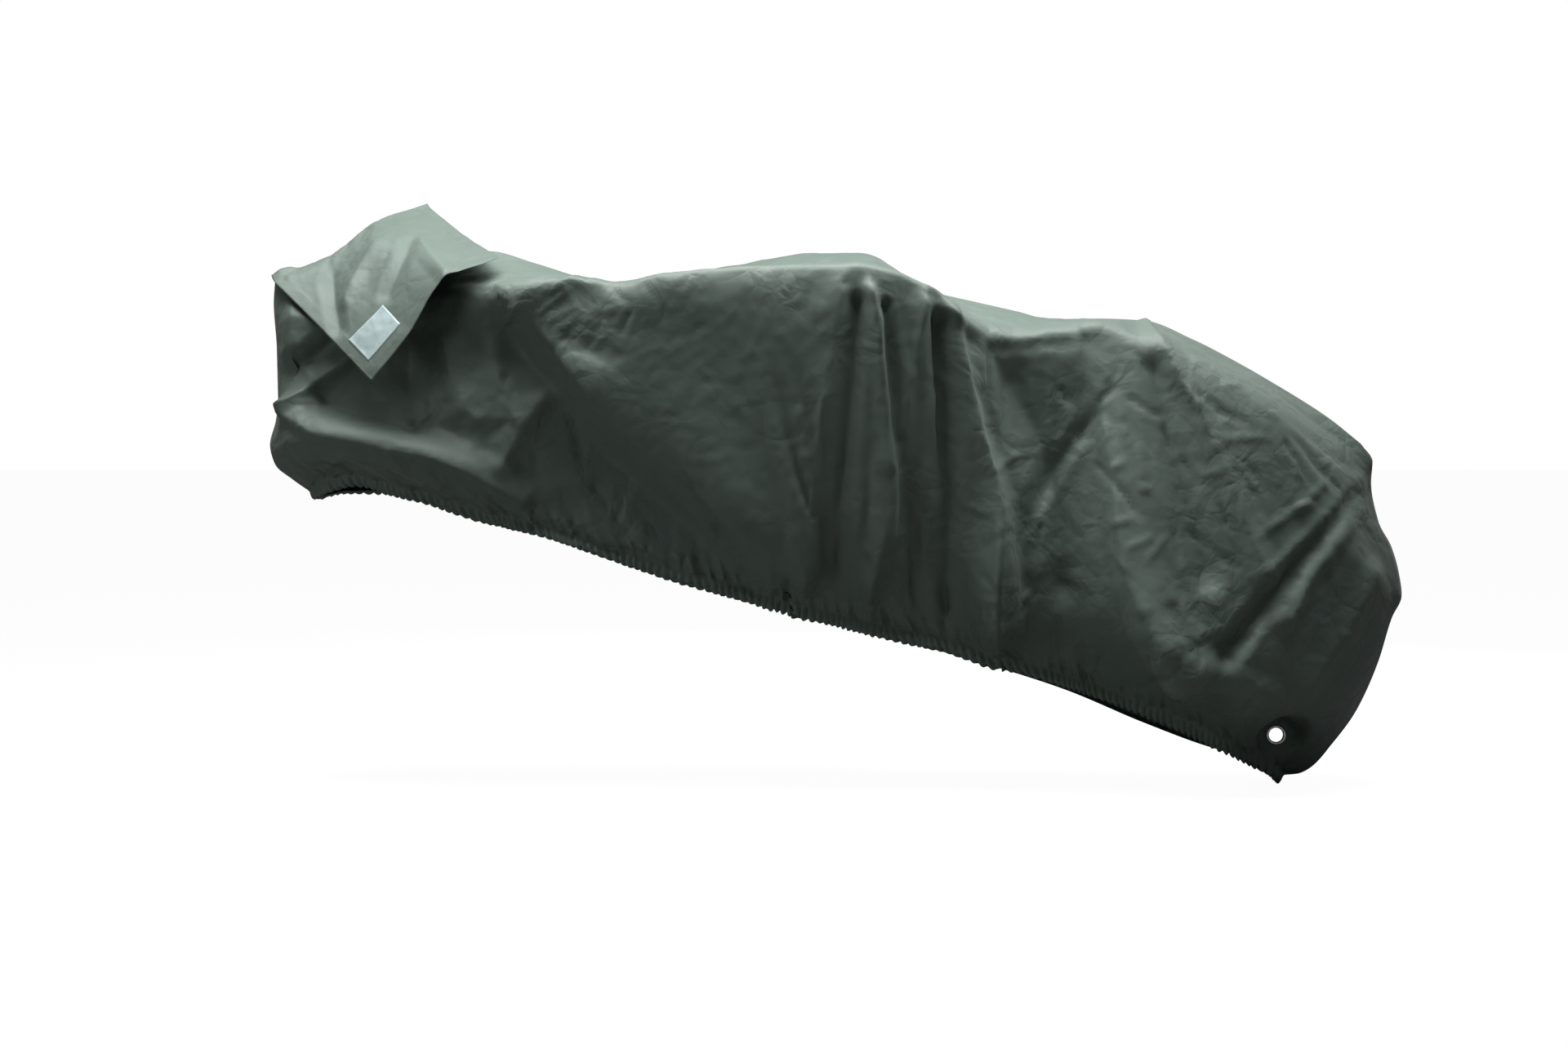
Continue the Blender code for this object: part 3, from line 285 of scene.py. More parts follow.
# Creases pressed into the near side: half their width, their rise, and their lines
# through (x, z) points. A rise below zero is a sharp trough.
Creases = namedtuple("Creases", "reach rise lines")
NEAR_CREASES = {
    "fan under the front grip": Creases(0.012, 0.0045, (
        ((-0.605, 0.970), (-0.525, 1.065), (-0.450, 1.115)), ((-0.510, 1.010), (-0.430, 1.075)),
        ((-0.495, 0.995), (-0.405, 1.040)), ((-0.490, 1.055), (-0.410, 1.105)),
        ((-0.545, 1.070), (-0.475, 1.105)), ((-0.475, 0.970), (-0.440, 0.995), (-0.405, 1.030)),
        ((-0.585, 0.995), (-0.540, 1.040)), ((-0.455, 1.080), (-0.425, 1.025)),)),
    "pressed lines of the big panel": Creases(0.011, -0.0042, (
        ((-0.415, 0.935), (-0.390, 0.965), (-0.360, 1.030)), ((-0.340, 0.970), (-0.310, 1.025)),
        ((-0.405, 1.095), (-0.400, 1.035)), ((-0.315, 1.025), (-0.330, 0.960)),
        ((-0.370, 1.085), (-0.285, 1.000)), ((-0.245, 1.035), (-0.250, 0.985)),
        ((-0.290, 1.080), (-0.245, 1.030)), ((-0.490, 0.930), (-0.425, 0.990)),
        ((-0.485, 0.970), (-0.415, 0.995)), ((-0.455, 0.930), (-0.420, 0.950)),
        ((0.050, 1.070), (0.040, 0.975)),)),
    "packing folds": Creases(0.009, 0.0024, (
        ((-0.180, 0.870), (-0.180, 0.650)), ((-0.215, 0.710), (-0.095, 0.720)),
        ((-0.025, 0.720), (0.090, 0.730)), ((0.225, 0.720), (0.175, 0.710)),
        ((-0.095, 0.920), (-0.100, 0.785)),)),
    "tucks in the dark hollow": Creases(0.014, -0.0063, (
        ((-0.600, 0.860), (-0.580, 0.845), (-0.545, 0.805)), ((-0.580, 0.895), (-0.585, 0.860)),
        ((-0.745, 0.845), (-0.725, 0.825), (-0.690, 0.845)), ((-0.765, 0.780), (-0.715, 0.825)),
        ((-0.520, 0.730), (-0.525, 0.675)), ((-0.430, 0.765), (-0.425, 0.665)),
        ((-0.405, 0.665), (-0.360, 0.595)), ((-0.360, 0.575), (-0.340, 0.615), (-0.350, 0.650)),
        ((-0.345, 0.585), (-0.310, 0.520), (-0.265, 0.495)),
        ((-0.160, 0.510), (-0.135, 0.545), (-0.145, 0.610)),
        ((-0.455, 0.870), (-0.435, 0.760), (-0.445, 0.705)),)),
    "front corner": Creases(0.014, 0.0040, (
        ((-1.040, 0.835), (-0.995, 0.835), (-0.965, 0.780)), ((-0.970, 0.695), (-0.895, 0.730)),
        ((-0.835, 0.745), (-0.795, 0.690), (-0.735, 0.660)), ((-1.040, 0.985), (-1.010, 0.920)),
        ((-1.025, 0.920), (-0.990, 0.870)), ((-0.675, 0.720), (-0.625, 0.680)),
        ((-0.540, 0.650), (-0.490, 0.615)),)),
    "hanging lines of the pleats": Creases(0.012, 0.0051, (
        ((0.225, 0.720), (0.230, 0.620), (0.225, 0.510)), ((0.165, 0.650), (0.155, 0.540)),
        ((0.085, 0.870), (0.065, 0.720)), ((0.320, 0.940), (0.295, 0.720)),
        ((0.295, 0.720), (0.255, 0.500)), ((0.390, 0.820), (0.370, 0.650)),
        ((0.370, 0.620), (0.440, 0.600)), ((0.425, 0.685), (0.490, 0.725), (0.550, 0.730)),
        ((0.440, 0.600), (0.440, 0.310)), ((0.320, 0.650), (0.285, 0.485)),
        ((0.135, 0.650), (0.120, 0.500)),)),
    "shade lines of the lobe": Creases(0.014, -0.0069, (
        ((0.645, 0.810), (0.605, 0.735), (0.525, 0.600), (0.465, 0.505)),
        ((0.605, 0.755), (0.555, 0.670)), ((0.640, 0.715), (0.710, 0.635), (0.745, 0.575)),
        ((0.645, 0.825), (0.690, 0.870)), ((0.540, 0.585), (0.510, 0.485)),
        ((0.575, 0.870), (0.600, 0.820)),)),
    "crow's feet of the lobe": Creases(0.011, 0.0051, (
        ((0.675, 0.695), (0.710, 0.715)), ((0.730, 0.655), (0.770, 0.655)),
        ((0.705, 0.530), (0.755, 0.555), (0.775, 0.550)), ((0.670, 0.580), (0.730, 0.595)),
        ((0.680, 0.530), (0.705, 0.480)),
        ((0.690, 0.870), (0.705, 0.780), (0.735, 0.700), (0.760, 0.585)),
        ((0.755, 0.415), (0.730, 0.400)), ((0.740, 0.500), (0.805, 0.570)),)),
    "rear panel, pulled creases": Creases(0.012, -0.0057, (
        ((0.770, 0.965), (0.850, 0.810), (0.890, 0.735)),
        ((0.805, 0.905), (0.900, 0.815), (1.000, 0.775)),
        ((0.705, 0.850), (0.770, 0.810), (0.820, 0.810)), ((0.730, 0.945), (0.760, 0.890)),
        ((0.805, 0.570), (0.820, 0.495)), ((0.820, 0.580), (0.915, 0.505), (0.975, 0.480)),
        ((0.900, 0.635), (0.915, 0.585), (0.960, 0.540)), ((0.925, 0.710), (0.990, 0.620)),
        ((0.960, 0.715), (1.005, 0.635)), ((1.040, 0.760), (1.105, 0.650)),
        ((0.825, 0.720), (0.865, 0.650)), ((0.785, 0.785), (0.810, 0.720)),)),
    "rear panel, light creases": Creases(0.011, 0.0051, (
        ((0.875, 0.735), (0.940, 0.760), (1.030, 0.760)), ((0.885, 0.760), (0.935, 0.765)),
        ((0.855, 0.840), (0.875, 0.755)), ((0.860, 0.680), (0.910, 0.695)),
        ((0.985, 0.600), (1.010, 0.560)), ((0.910, 0.870), (0.960, 0.870)),
        ((0.995, 0.820), (1.035, 0.800)), ((1.060, 0.720), (1.080, 0.670)),)),
    "rear band edges": Creases(0.014, 0.0072, (
        ((0.965, 0.545), (1.080, 0.620), (1.180, 0.700)),
        ((0.975, 0.465), (1.080, 0.550), (1.210, 0.670)), ((1.015, 0.440), (1.055, 0.540)),
        ((1.060, 0.610), (1.115, 0.625)),)),
    "rear tip": Creases(0.014, 0.0054, (
        ((1.145, 0.600), (1.135, 0.545), (1.155, 0.445), (1.160, 0.340)),
        ((1.130, 0.440), (1.055, 0.400)), ((1.160, 0.350), (1.220, 0.330)),
        ((1.230, 0.620), (1.215, 0.520)), ((1.095, 0.500), (1.070, 0.435)),
        ((1.080, 0.330), (1.120, 0.400)),)),
    "pleats above the rear hem": Creases(0.015, -0.0075, (
        ((0.510, 0.425), (0.525, 0.300)), ((0.475, 0.445), (0.465, 0.340)),
        ((0.535, 0.445), (0.490, 0.375)), ((0.730, 0.400), (0.770, 0.275)),
        ((0.805, 0.310), (0.900, 0.350)), ((0.800, 0.300), (0.820, 0.265)),
        ((0.575, 0.385), (0.595, 0.290)), ((0.630, 0.330), (0.650, 0.250)),
        ((0.675, 0.315), (0.660, 0.240)), ((0.755, 0.220), (0.805, 0.290)),
        ((0.875, 0.230), (0.910, 0.280)), ((0.960, 0.180), (0.985, 0.230)),
        ((0.405, 0.415), (0.415, 0.330)), ((0.335, 0.450), (0.350, 0.375)),
        ((0.270, 0.485), (0.275, 0.410)), ((0.170, 0.520), (0.180, 0.450)),)),
    "pleats above the front hem": Creases(0.014, -0.0063, (
        ((-0.540, 0.585), (-0.515, 0.630)), ((-0.455, 0.560), (-0.440, 0.600)),
        ((-0.295, 0.500), (-0.285, 0.550)), ((-0.220, 0.485), (-0.195, 0.530)),
        ((-0.095, 0.460), (-0.080, 0.500)), ((0.000, 0.425), (0.020, 0.485)),
        ((0.065, 0.415), (0.080, 0.465)),)),
}

# Soft discs of the near side in side view: each has its middle, its reach and its share.
Disc = namedtuple("Disc", "x z reach share")
# How taut (1) or how loose and crumpled (0) the cloth is; elsewhere it is USUAL_TAUT.
USUAL_TAUT = 0.30
NEAR_TAUT = {
    "swoop panel": Disc(-0.160, 0.860, 0.300, 0.90),
    "swoop panel, lower": Disc(-0.020, 0.640, 0.260, 0.90),
    "bar pleats": Disc(0.200, 0.780, 0.260, 0.70),
    "bar pleats, lower": Disc(0.260, 0.520, 0.200, 0.60),
    "shoulder slope": Disc(0.560, 0.950, 0.120, 0.80),
    "rear shoulder": Disc(0.980, 0.760, 0.200, 0.45),
    "lobe": Disc(0.640, 0.560, 0.200, 0.50),
    "front cheek": Disc(-0.800, 0.860, 0.220, 0.55),
}
# How firmly the cloth is held by what is under it; elsewhere it is LOOSE_HOLD.
LOOSE_HOLD, FOLD_HOLD = 0.09, 0.18
NEAR_HELD = {
    "front bar end": Disc(-0.440, 1.080, 0.130, 0.70),
    "line between the bars, front": Disc(-0.290, 1.090, 0.110, 0.60),
    "line between the bars": Disc(-0.140, 1.100, 0.110, 0.60),
    "line between the bars, rear": Disc(0.010, 1.100, 0.110, 0.60),
    "rear bar end": Disc(0.170, 1.090, 0.130, 0.80),
    "cape top": Disc(0.330, 1.040, 0.090, 0.60),
    "saddle": Disc(0.720, 0.980, 0.120, 0.60),
    "carrier": Disc(1.000, 0.860, 0.120, 0.40),
    "front roll": Disc(-0.960, 0.760, 0.120, 0.30),
}

FAR_HELD = {
    "far front grip": Disc(-0.770, 1.200, 0.150, 0.70),
    "far bar end": Disc(0.130, 1.150, 0.160, 0.70),
    "far line between the bars": Disc(-0.150, 1.110, 0.140, 0.60),
    "far slope behind the bar": Disc(0.320, 1.050, 0.120, 0.50),
    "far saddle": Disc(0.720, 0.980, 0.140, 0.60),
    "far carrier": Disc(1.000, 0.860, 0.140, 0.40),
}

# ---------------------------------------------------------------- settings


class CoverCloth(bpy.types.PropertyGroup):
    """The coated cloth and its gathered hem."""

    thickness: bpy.props.FloatProperty(
        name="Thickness", description="Thickness of the coated cloth", default=0.001,
        min=0.0002, max=0.003, unit="LENGTH")
    colour: bpy.props.FloatVectorProperty(
        name="Colour", description="Dyed colour of the cloth", subtype="COLOR", size=3,
        default=(0.100, 0.134, 0.114), min=0.0, max=1.0)
    crease: bpy.props.FloatProperty(
        name="Crease depth", description="Depth of the small creases, as a share",
        default=1.0, min=0.0, max=2.0, subtype="FACTOR")
    crumple: bpy.props.FloatProperty(
        name="Crumple depth", description="Depth of the crumpled facets between the creases",
        default=0.0062, min=0.0, max=0.01, unit="LENGTH")
    hem_width: bpy.props.FloatProperty(
        name="Hem width", description="Height of the gathered hem band", default=0.030,
        min=0.01, max=0.05, unit="LENGTH")
    gather_pitch: bpy.props.FloatProperty(
        name="Gather pitch", description="Usual distance between two gathers of the hem",
        default=0.016, min=0.008, max=0.04, unit="LENGTH")
    gather_depth: bpy.props.FloatProperty(
        name="Gather depth", description="Depth of the gathers in the hem band",
        default=0.0085, min=0.0, max=0.01, unit="LENGTH")
    thread: bpy.props.FloatProperty(
        name="Thread pitch", description="Distance between two threads of the weave",
        default=0.0006, min=0.0002, max=0.003, unit="LENGTH")


class CoverFlap(bpy.types.PropertyGroup):
    """The front flap and the bare label patch on it."""

    hem_width: bpy.props.FloatProperty(
        name="Flap hem", description="Width of the hem on the flap's free edges",
        default=0.026, min=0.01, max=0.05, unit="LENGTH")
    clearance: bpy.props.FloatProperty(
        name="Clearance", description="Least distance of the flap from the cover under it",
        default=0.004, min=0.001, max=0.02, unit="LENGTH")
    label_colour: bpy.props.FloatVectorProperty(
        name="Label colour", description="Colour of the woven label", subtype="COLOR",
        size=3, default=(0.33, 0.42, 0.42), min=0.0, max=1.0)
    label_border: bpy.props.FloatProperty(
        name="Label border", description="Inset of the stitches around the label",
        default=0.0035, min=0.001, max=0.01, unit="LENGTH")


class CoverEyelet(bpy.types.PropertyGroup):
    """The metal eyelets at the lower rear corners."""

    bore: bpy.props.FloatProperty(
        name="Bore radius", description="Radius of the eyelet's hole", default=0.0155,
        min=0.004, max=0.03, unit="LENGTH")
    flange: bpy.props.FloatProperty(
        name="Flange radius", description="Outer radius of the eyelet's front flange",
        default=0.0218, min=0.006, max=0.04, unit="LENGTH")
    colour: bpy.props.FloatVectorProperty(
        name="Metal colour", description="Colour of the plated metal", subtype="COLOR",
        size=3, default=(0.80, 0.80, 0.78), min=0.0, max=1.0)


class CoverStage(bpy.types.PropertyGroup):
    """The camera, lights and floor around the cover."""

    key_power: bpy.props.FloatProperty(
        name="Key power", description="Power of the soft light overhead", default=118.0,
        min=0.0, max=2000.0, unit="POWER")
    fill_power: bpy.props.FloatProperty(
        name="Fill power", description="Power of the weak light on the near side",
        default=14.0, min=0.0, max=500.0, unit="POWER")
    back_power: bpy.props.FloatProperty(
        name="Back power", description="Strength of the low light behind the cover",
        default=26.0, min=0.0, max=500.0, unit="POWER")
    lens: bpy.props.FloatProperty(
        name="Lens", description="Focal length of the camera", default=58.93, min=20.0,
        max=200.0, unit="CAMERA")
    floor_colour: bpy.props.FloatVectorProperty(
        name="Floor colour", description="Colour of the plain floor", subtype="COLOR",
        size=3, default=(0.96, 0.96, 0.96), min=0.0, max=1.0)


# ---------------------------------------------------------------- shape of the cloth

LATTICE = 64  # cells along each edge of a random lattice, after which it repeats
SIDE_SEEDS = {NEAR: 11, FAR: 57}
BASE_ROWS = 300  # rows of a side before its folds, from seam to hem
FINE_ZONE = 0.070  # height above the hem that has the finer rows

# Lengths over which folds and creases fade: at the ends, below the seam, then above the hem,
# for folds and for creases.
END_FADE, SEAM_FADE, FOLD_FADE, CREASE_FADE = 0.05, 0.08, 0.14, 0.05
CREASE_START, CREASE_END = 0.15, 0.35  # shares of a crease over which it begins and ends

# Crumpled facets: their cell sizes, the share of the small ones, how far they stray, how
# the cloth is squeezed down its height, and the level that is neither raised nor sunk.
FACET, SMALL_FACET, SMALL_SHARE = 0.085, 0.036, 0.30
STRAY, SQUEEZE, FACET_LEVEL = 0.035, 0.62, 0.35

# Star creases: how many, and the least and most of each random measure.
STARS = 150
STAR_STRENGTH, STAR_LINES, STAR_TURN = (0.4, 1.0), (2, 6), (0.5, 1.5)
STAR_LENGTH, STAR_REACH, STAR_RISE = (0.030, 0.110), (0.007, 0.012), (0.0012, 0.0040)

# The gathered hem: the height of its roll, how low the roll is fullest (1 is midway), the
# usual and the uneven slant of the gathers in radians a metre, the length over which the
# band ends, and the lengths over which the three waves above it die away.
HEM_ROLL, ROLL_SKEW, GATHER_LEAN, UNEVEN_LEAN, BAND_FADE = 0.020, 0.7, 60.0, 70.0, 0.006
SHORT_WAVE, WAVE, LONG_WAVE = 0.014, 0.035, 0.070


def smooth_step(value):
    """0 below 0, 1 above 1, and an even S between them."""
    t = np.clip(value, 0.0, 1.0)
    return t * t * (3.0 - 2.0 * t)


def through(knots, rows, at):
    """Cubic through the rows at the knots that never overshoots them: each tangent is the
    harmonic mean of the slopes beside it, and 0 where the slope changes sign."""
    knots = np.asarray(knots, float)
    rows = np.asarray(rows, float)
    flat = rows.reshape(len(knots), -1)
    steps = np.diff(knots)[:, None]
    slopes = np.diff(flat, axis=0) / steps
    before, after = slopes[:-1], slopes[1:]
    same = before * after > 0.0
    total = np.where(same, before + after, 1.0)
    tangents = np.empty_like(flat)
    tangents[1:-1] = np.where(same, 2.0 * before * after / total, 0.0)
    tangents[0], tangents[-1] = slopes[0], slopes[-1]
    at = np.asarray(at, float)
    left = np.clip(np.searchsorted(knots, at, side="right") - 1, 0, len(knots) - 2)
    span = np.diff(knots)[left]
    t = ((at - knots[left]) / span)[:, None]
    span = span[:, None]
    value = ((1 + 2 * t) * (1 - t) ** 2 * flat[left] + t * (1 - t) ** 2 * span * tangents[left]
             + t * t * (3 - 2 * t) * flat[left + 1]
             - t * t * (1 - t) * span * tangents[left + 1])
    return value.reshape((len(at),) + rows.shape[1:])


def from_ends(stations):
    """Distance along the cover from its nearer end, as a column."""
    return np.minimum(stations - stations[0], stations[-1] - stations)[:, None]


def from_eyelet(points, side):
    """Distance of every point from its side's eyelet, in side view."""
    return np.hypot(points[..., 0] - EYELETS[side].x, points[..., 2] - EYELETS[side].z)


def middle_y(z):
    """The leaning middle plane: y at a height above the ground."""
    return (HOLD[2] - z) * LEAN


def eyelet_y(side):
    """The flattened cloth around an eyelet: the middle plane there, moved out to its side."""
    return middle_y(EYELETS[side].z) + side * EYELETS[side].out


def in_frame(points):
    """Places of the cover as the frame has them: less the hold, which is its origin."""
    return np.asarray(points) - np.array(HOLD)


def section_curves(sections, drops):
    """x, out and z down every section and both edges: one curve for each, at the drops."""
    top = np.array(SEAM_TOP)
    knots, curves = [], []
    front = np.array(FRONT_EDGE)
    front_curve = through(front[:, 0], front[:, 1:], drops)
    knots.append(top[0, 0])
    curves.append(np.stack([front_curve[:, 0], 0.0 * drops, front_curve[:, 1]], axis=1))
    for section in sections:
        seam_z = through(top[:, 0], top[:, 1:], [section.at])[0, 0]
        places = ((section.at, 0.0, seam_z), *section[1:])
        knots.append(section.at)
        curves.append(through((0.0, SHOULDER, WAIST, BELLY, HEM), places, drops))
    rear = np.array(REAR_EDGE)
    rear_curve = through(rear[:, 0], rear[:, 1:], drops)
    knots.append(top[-1, 0])
    curves.append(np.stack([rear_curve[:, 0], 0.0 * drops, rear_curve[:, 1]], axis=1))
    return knots, np.array(curves)


def fold_rise(x, z, folds):
    """Sum of the folds at side-view places. Each is sharp along its line and soft at its
    flanks, its rise times (1 - across)^2 (1 + across), and its width and rise are blended
    from its start to its end."""
    total = np.zeros_like(x)
    for fold in folds.values():
        line = np.array(fold.line)
        lengths = np.linalg.norm(np.diff(line, axis=0), axis=1)
        starts = np.concatenate([[0.0], np.cumsum(lengths)])
        best = np.full(x.shape, np.inf)
        along = np.zeros_like(x)
        hand = np.zeros_like(x)
        for start, end, begun, length in zip(line[:-1], line[1:], starts[:-1], lengths):
            way = (end - start) / length
            t = np.clip((x - start[0]) * way[0] + (z - start[1]) * way[1], 0.0, length)
            off_x = x - start[0] - t * way[0]
            off_z = z - start[1] - t * way[1]
            distance = np.hypot(off_x, off_z)
            closer = distance < best
            best = np.where(closer, distance, best)
            along = np.where(closer, (begun + t) / starts[-1], along)
            hand = np.where(closer, way[0] * off_z - way[1] * off_x, hand)
        reach = fold.reach[0] + (fold.reach[1] - fold.reach[0]) * along
        rise = fold.rise[0] + (fold.rise[1] - fold.rise[0]) * along
        side = np.where(hand > 0.0, 1.0 + fold.lean, 1.0 - fold.lean)
        across = np.clip(best / (reach * side), 0.0, 1.0)
        total += rise * (1.0 - across) ** 2 * (1.0 + across)
    return total


def crease_rise(x, z, creases):
    """Sum of the pressed creases at side-view places. Each is sharp along its line: its rise
    times (1 - across)^2, with an S-shaped start and end."""
    total = np.zeros_like(x)
    for group in creases.values():
        for line in group.lines:
            total += sharp_line(x, z, np.array(line), group.reach, group.rise)
    return total


def sharp_line(x, z, line, reach, rise):
    """One sharp crease along a broken line of points: the highest, over its pieces, of the
    rise times (1 - across)^2 times the S of its start and end."""
    lengths = np.linalg.norm(np.diff(line, axis=0), axis=1)
    starts = np.concatenate([[0.0], np.cumsum(lengths)])
    height = np.zeros_like(x)
    for start, end, begun, length in zip(line[:-1], line[1:], starts[:-1], lengths):
        way = (end - start) / length
        t = np.clip((x - start[0]) * way[0] + (z - start[1]) * way[1], 0.0, length)
        distance = np.hypot(x - start[0] - t * way[0], z - start[1] - t * way[1])
        along = (begun + t) / starts[-1]
        fade = smooth_step(along / CREASE_START) * smooth_step((1.0 - along) / CREASE_END)
        height = np.maximum(height, fade * np.clip(1.0 - distance / reach, 0.0, 1.0) ** 2)
    return rise * height


def soft_discs(x, z, usual, discs):
    """A share at side-view places: the usual one, into which each disc blends its own by an
    S over the outer half of its reach."""
    share = np.full(x.shape, usual)
    for disc in discs.values():
        distance = np.hypot(x - disc.x, z - disc.z) / disc.reach
        inside = 1.0 - smooth_step((distance - 0.5) / 0.5)
        share += inside * (disc.share - share)
    return share


def surface_normals(points, side):
    """Unit normals of a grid of points, pointing away from the hollow: the cross product of
    its two directions."""
    normals = np.cross(np.gradient(points, axis=0), np.gradient(points, axis=1)) * side
    return normals / np.linalg.norm(normals, axis=2, keepdims=True)


def side_base(side, stations, drops):
    """One side of the cover without its folds: the sections' curves, joined along the cover
    by a cubic, with their tops pulled onto the seam."""
    sections = NEAR_SECTIONS if side == NEAR else FAR_SECTIONS
    knots, curves = section_curves(sections, drops)
    places = through(knots, curves, stations)
    top = np.array(SEAM_TOP)
    seam_z = through(top[:, 0], top[:, 1:], stations)[:, 0]
    fade = np.clip(1.0 - drops / SHOULDER, 0.0, 1.0) ** 2
    places[:, :, 2] += (seam_z - places[:, 0, 2])[:, None] * fade[None, :]
    places[:, :, 0] += (stations - places[:, 0, 0])[:, None] * fade[None, :]
    x, out, z = places[:, :, 0], places[:, :, 1], places[:, :, 2]
    return np.stack([x, middle_y(z) + side * out, z], axis=2)


def distance_down(points):
    """Distance down every column of a grid from its first row: the sum of its steps."""
    steps = np.linalg.norm(np.diff(points, axis=1), axis=2)
    return np.concatenate([np.zeros((len(points), 1)), np.cumsum(steps, axis=1)], axis=1)


def read_columns(values, lengths, wanted):
    """The values of every column at the wanted distances down it: one straight interpolation
    over all columns laid end to end."""
    shift = np.arange(len(values))[:, None] * (lengths.max() + 1.0)
    at, known = (wanted + shift).ravel(), (lengths + shift).ravel()
    layers = [np.interp(at, known, values[..., k].ravel()) for k in range(values.shape[2])]
    return np.stack(layers, axis=1).reshape(wanted.shape + (values.shape[2],))


def value_noise(u, v, cell, seed):
    """Even noise from -1 to 1: random values at the corners of square cells, joined by an S
    along and across each cell."""
    corners = np.random.default_rng(seed).uniform(-1.0, 1.0, (LATTICE, LATTICE))
    column, row = np.floor(u / cell), np.floor(v / cell)
    s, t = smooth_step(u / cell - column), smooth_step(v / cell - row)
    i, j = column.astype(int) % LATTICE, row.astype(int) % LATTICE
    i_next, j_next = (i + 1) % LATTICE, (j + 1) % LATTICE
    left = corners[i, j] * (1 - t) + corners[i, j_next] * t
    right = corners[i_next, j] * (1 - t) + corners[i_next, j_next] * t
    return left * (1 - s) + right * s


def crumpled(u, v, cell, seed):
    """Facets with sharp ridges between them, from about 0 to 1: the squared distance, in
    cells, to the nearest of a lattice of places, each moved at random in its cell."""
    spots = np.random.default_rng(seed).random((LATTICE, LATTICE, 2))
    column, row = np.floor(u / cell), np.floor(v / cell)
    nearest = np.full(u.shape, np.inf)
    for i in (-1, 0, 1):
        for j in (-1, 0, 1):
            spot = spots[(column + i).astype(int) % LATTICE, (row + j).astype(int) % LATTICE]
            off_u = u / cell - column - i - spot[..., 0]
            off_v = v / cell - row - j - spot[..., 1]
            nearest = np.minimum(nearest, off_u ** 2 + off_v ** 2)
    return nearest


def crow_feet(u, v, count, lows, highs, seed):
    """Scattered star creases: from each star's place a few straight creases run out, each a
    sharp line whose height falls off as (1 - across)^2 and dies towards its tip."""
    rng = np.random.default_rng(seed)
    total = np.zeros_like(u)
    for _ in range(count):
        place = rng.uniform(lows, highs)
        heading = rng.uniform(0.0, math.tau)
        strength = rng.uniform(*STAR_STRENGTH) * rng.choice((-1.0, 1.0))
        for _ in range(rng.integers(*STAR_LINES)):
            heading += rng.uniform(*STAR_TURN)
            length, reach = rng.uniform(*STAR_LENGTH), rng.uniform(*STAR_REACH)
            rise = strength * rng.uniform(*STAR_RISE)
            off_u, off_v = u - place[0], v - place[1]
            along = (off_u * math.cos(heading) + off_v * math.sin(heading)) / length
            across = np.abs(off_v * math.cos(heading) - off_u * math.sin(heading)) / reach
            inside = (along > 0.0) & (along < 1.0) & (across < 1.0)
            along, across = along[inside], across[inside]
            total[inside] += rise * smooth_step(along / 0.2) * (1 - along) * (1 - across) ** 2
    return total


def hem_gathers(along, up, cloth, seed):
    """Gathers of the elastic hem, and how far they reach up. Their phase is the distance
    along the hem over an uneven pitch, slanted by an uneven amount. The band is a roll, as
    half a sine from its top to its edge, pinched by sharp ridges, as the root of a sine.
    Above it, waves of twice, once and about a third of that phase die away in turn."""
    level = 0.0 * along
    pitch = cloth.gather_pitch * (1.0 + 0.35 * value_noise(along, level, 0.05, seed))
    steps = np.diff(along, prepend=along[:1]) / pitch
    phase = (np.cumsum(steps) * math.pi)[:, None]
    uneven = (0.8 + 0.45 * value_noise(along, level, 0.03, seed + 1))[:, None]
    lean = (GATHER_LEAN + UNEVEN_LEAN * value_noise(along, level, 0.07, seed + 2))[:, None]
    slant = phase + lean * up
    ridges = np.sqrt(np.abs(np.sin(slant))) - 0.7
    lobes = 0.65 + 0.35 * np.cos((up / cloth.hem_width - 0.25) * 4.0 * math.pi)
    band = 1.0 - smooth_step((up - cloth.hem_width) / BAND_FADE)
    climb = np.clip(up - cloth.hem_width, 0.0, None)
    waves = (0.8 * np.sin(2.0 * slant) * np.exp(-climb / SHORT_WAVE)
             + 1.1 * np.sin(slant + 0.7) * np.exp(-climb / WAVE)
             + np.sin(0.37 * phase + 0.4 * lean * up) * np.exp(-climb / LONG_WAVE))
    across = np.clip(up / cloth.hem_width, 0.0, 1.0)
    roll = HEM_ROLL * np.sin(math.pi * across ** ROLL_SKEW) * (1.0 + 0.5 * ridges)
    return roll + cloth.gather_depth * uneven * (band * lobes * ridges
                                                 + (1.0 - band) * 0.6 * waves)


# How a grid settles as cloth: the share by which it is cut wider, the share by which loose
# cloth grows, its stiffness against bending, its share of gravity and its frames.
Settling = namedtuple("Settling", "width growth bending gravity frames")
SIDE_SETTLING = Settling(width=0.055, growth=0.020, bending=0.4, gravity=0.12, frames=24)
SETTLING_GRID = {NEAR: (180, 70), FAR: (120, 48)}  # columns and rows
CLOTH_SETTINGS = {"quality": 6, "mass": 0.15, "tension_stiffness": 20.0,
                  "compression_stiffness": 20.0, "shear_stiffness": 8.0, "air_damping": 2.0}
WEIGHT_STEPS = 100
JITTER = 0.0006  # noise that lets a flat part begin to buckle


def weigh(thing, name, weights):
    """A vertex group of a grid's weights, put in by steps of a hundredth."""
    group = thing.vertex_groups.new(name=name)
    steps = np.round(np.clip(weights.ravel(), 0.0, 1.0) * WEIGHT_STEPS).astype(int)
    for step in np.unique(steps):
        group.add(np.flatnonzero(steps == step).tolist(), step / WEIGHT_STEPS, "REPLACE")
    return name


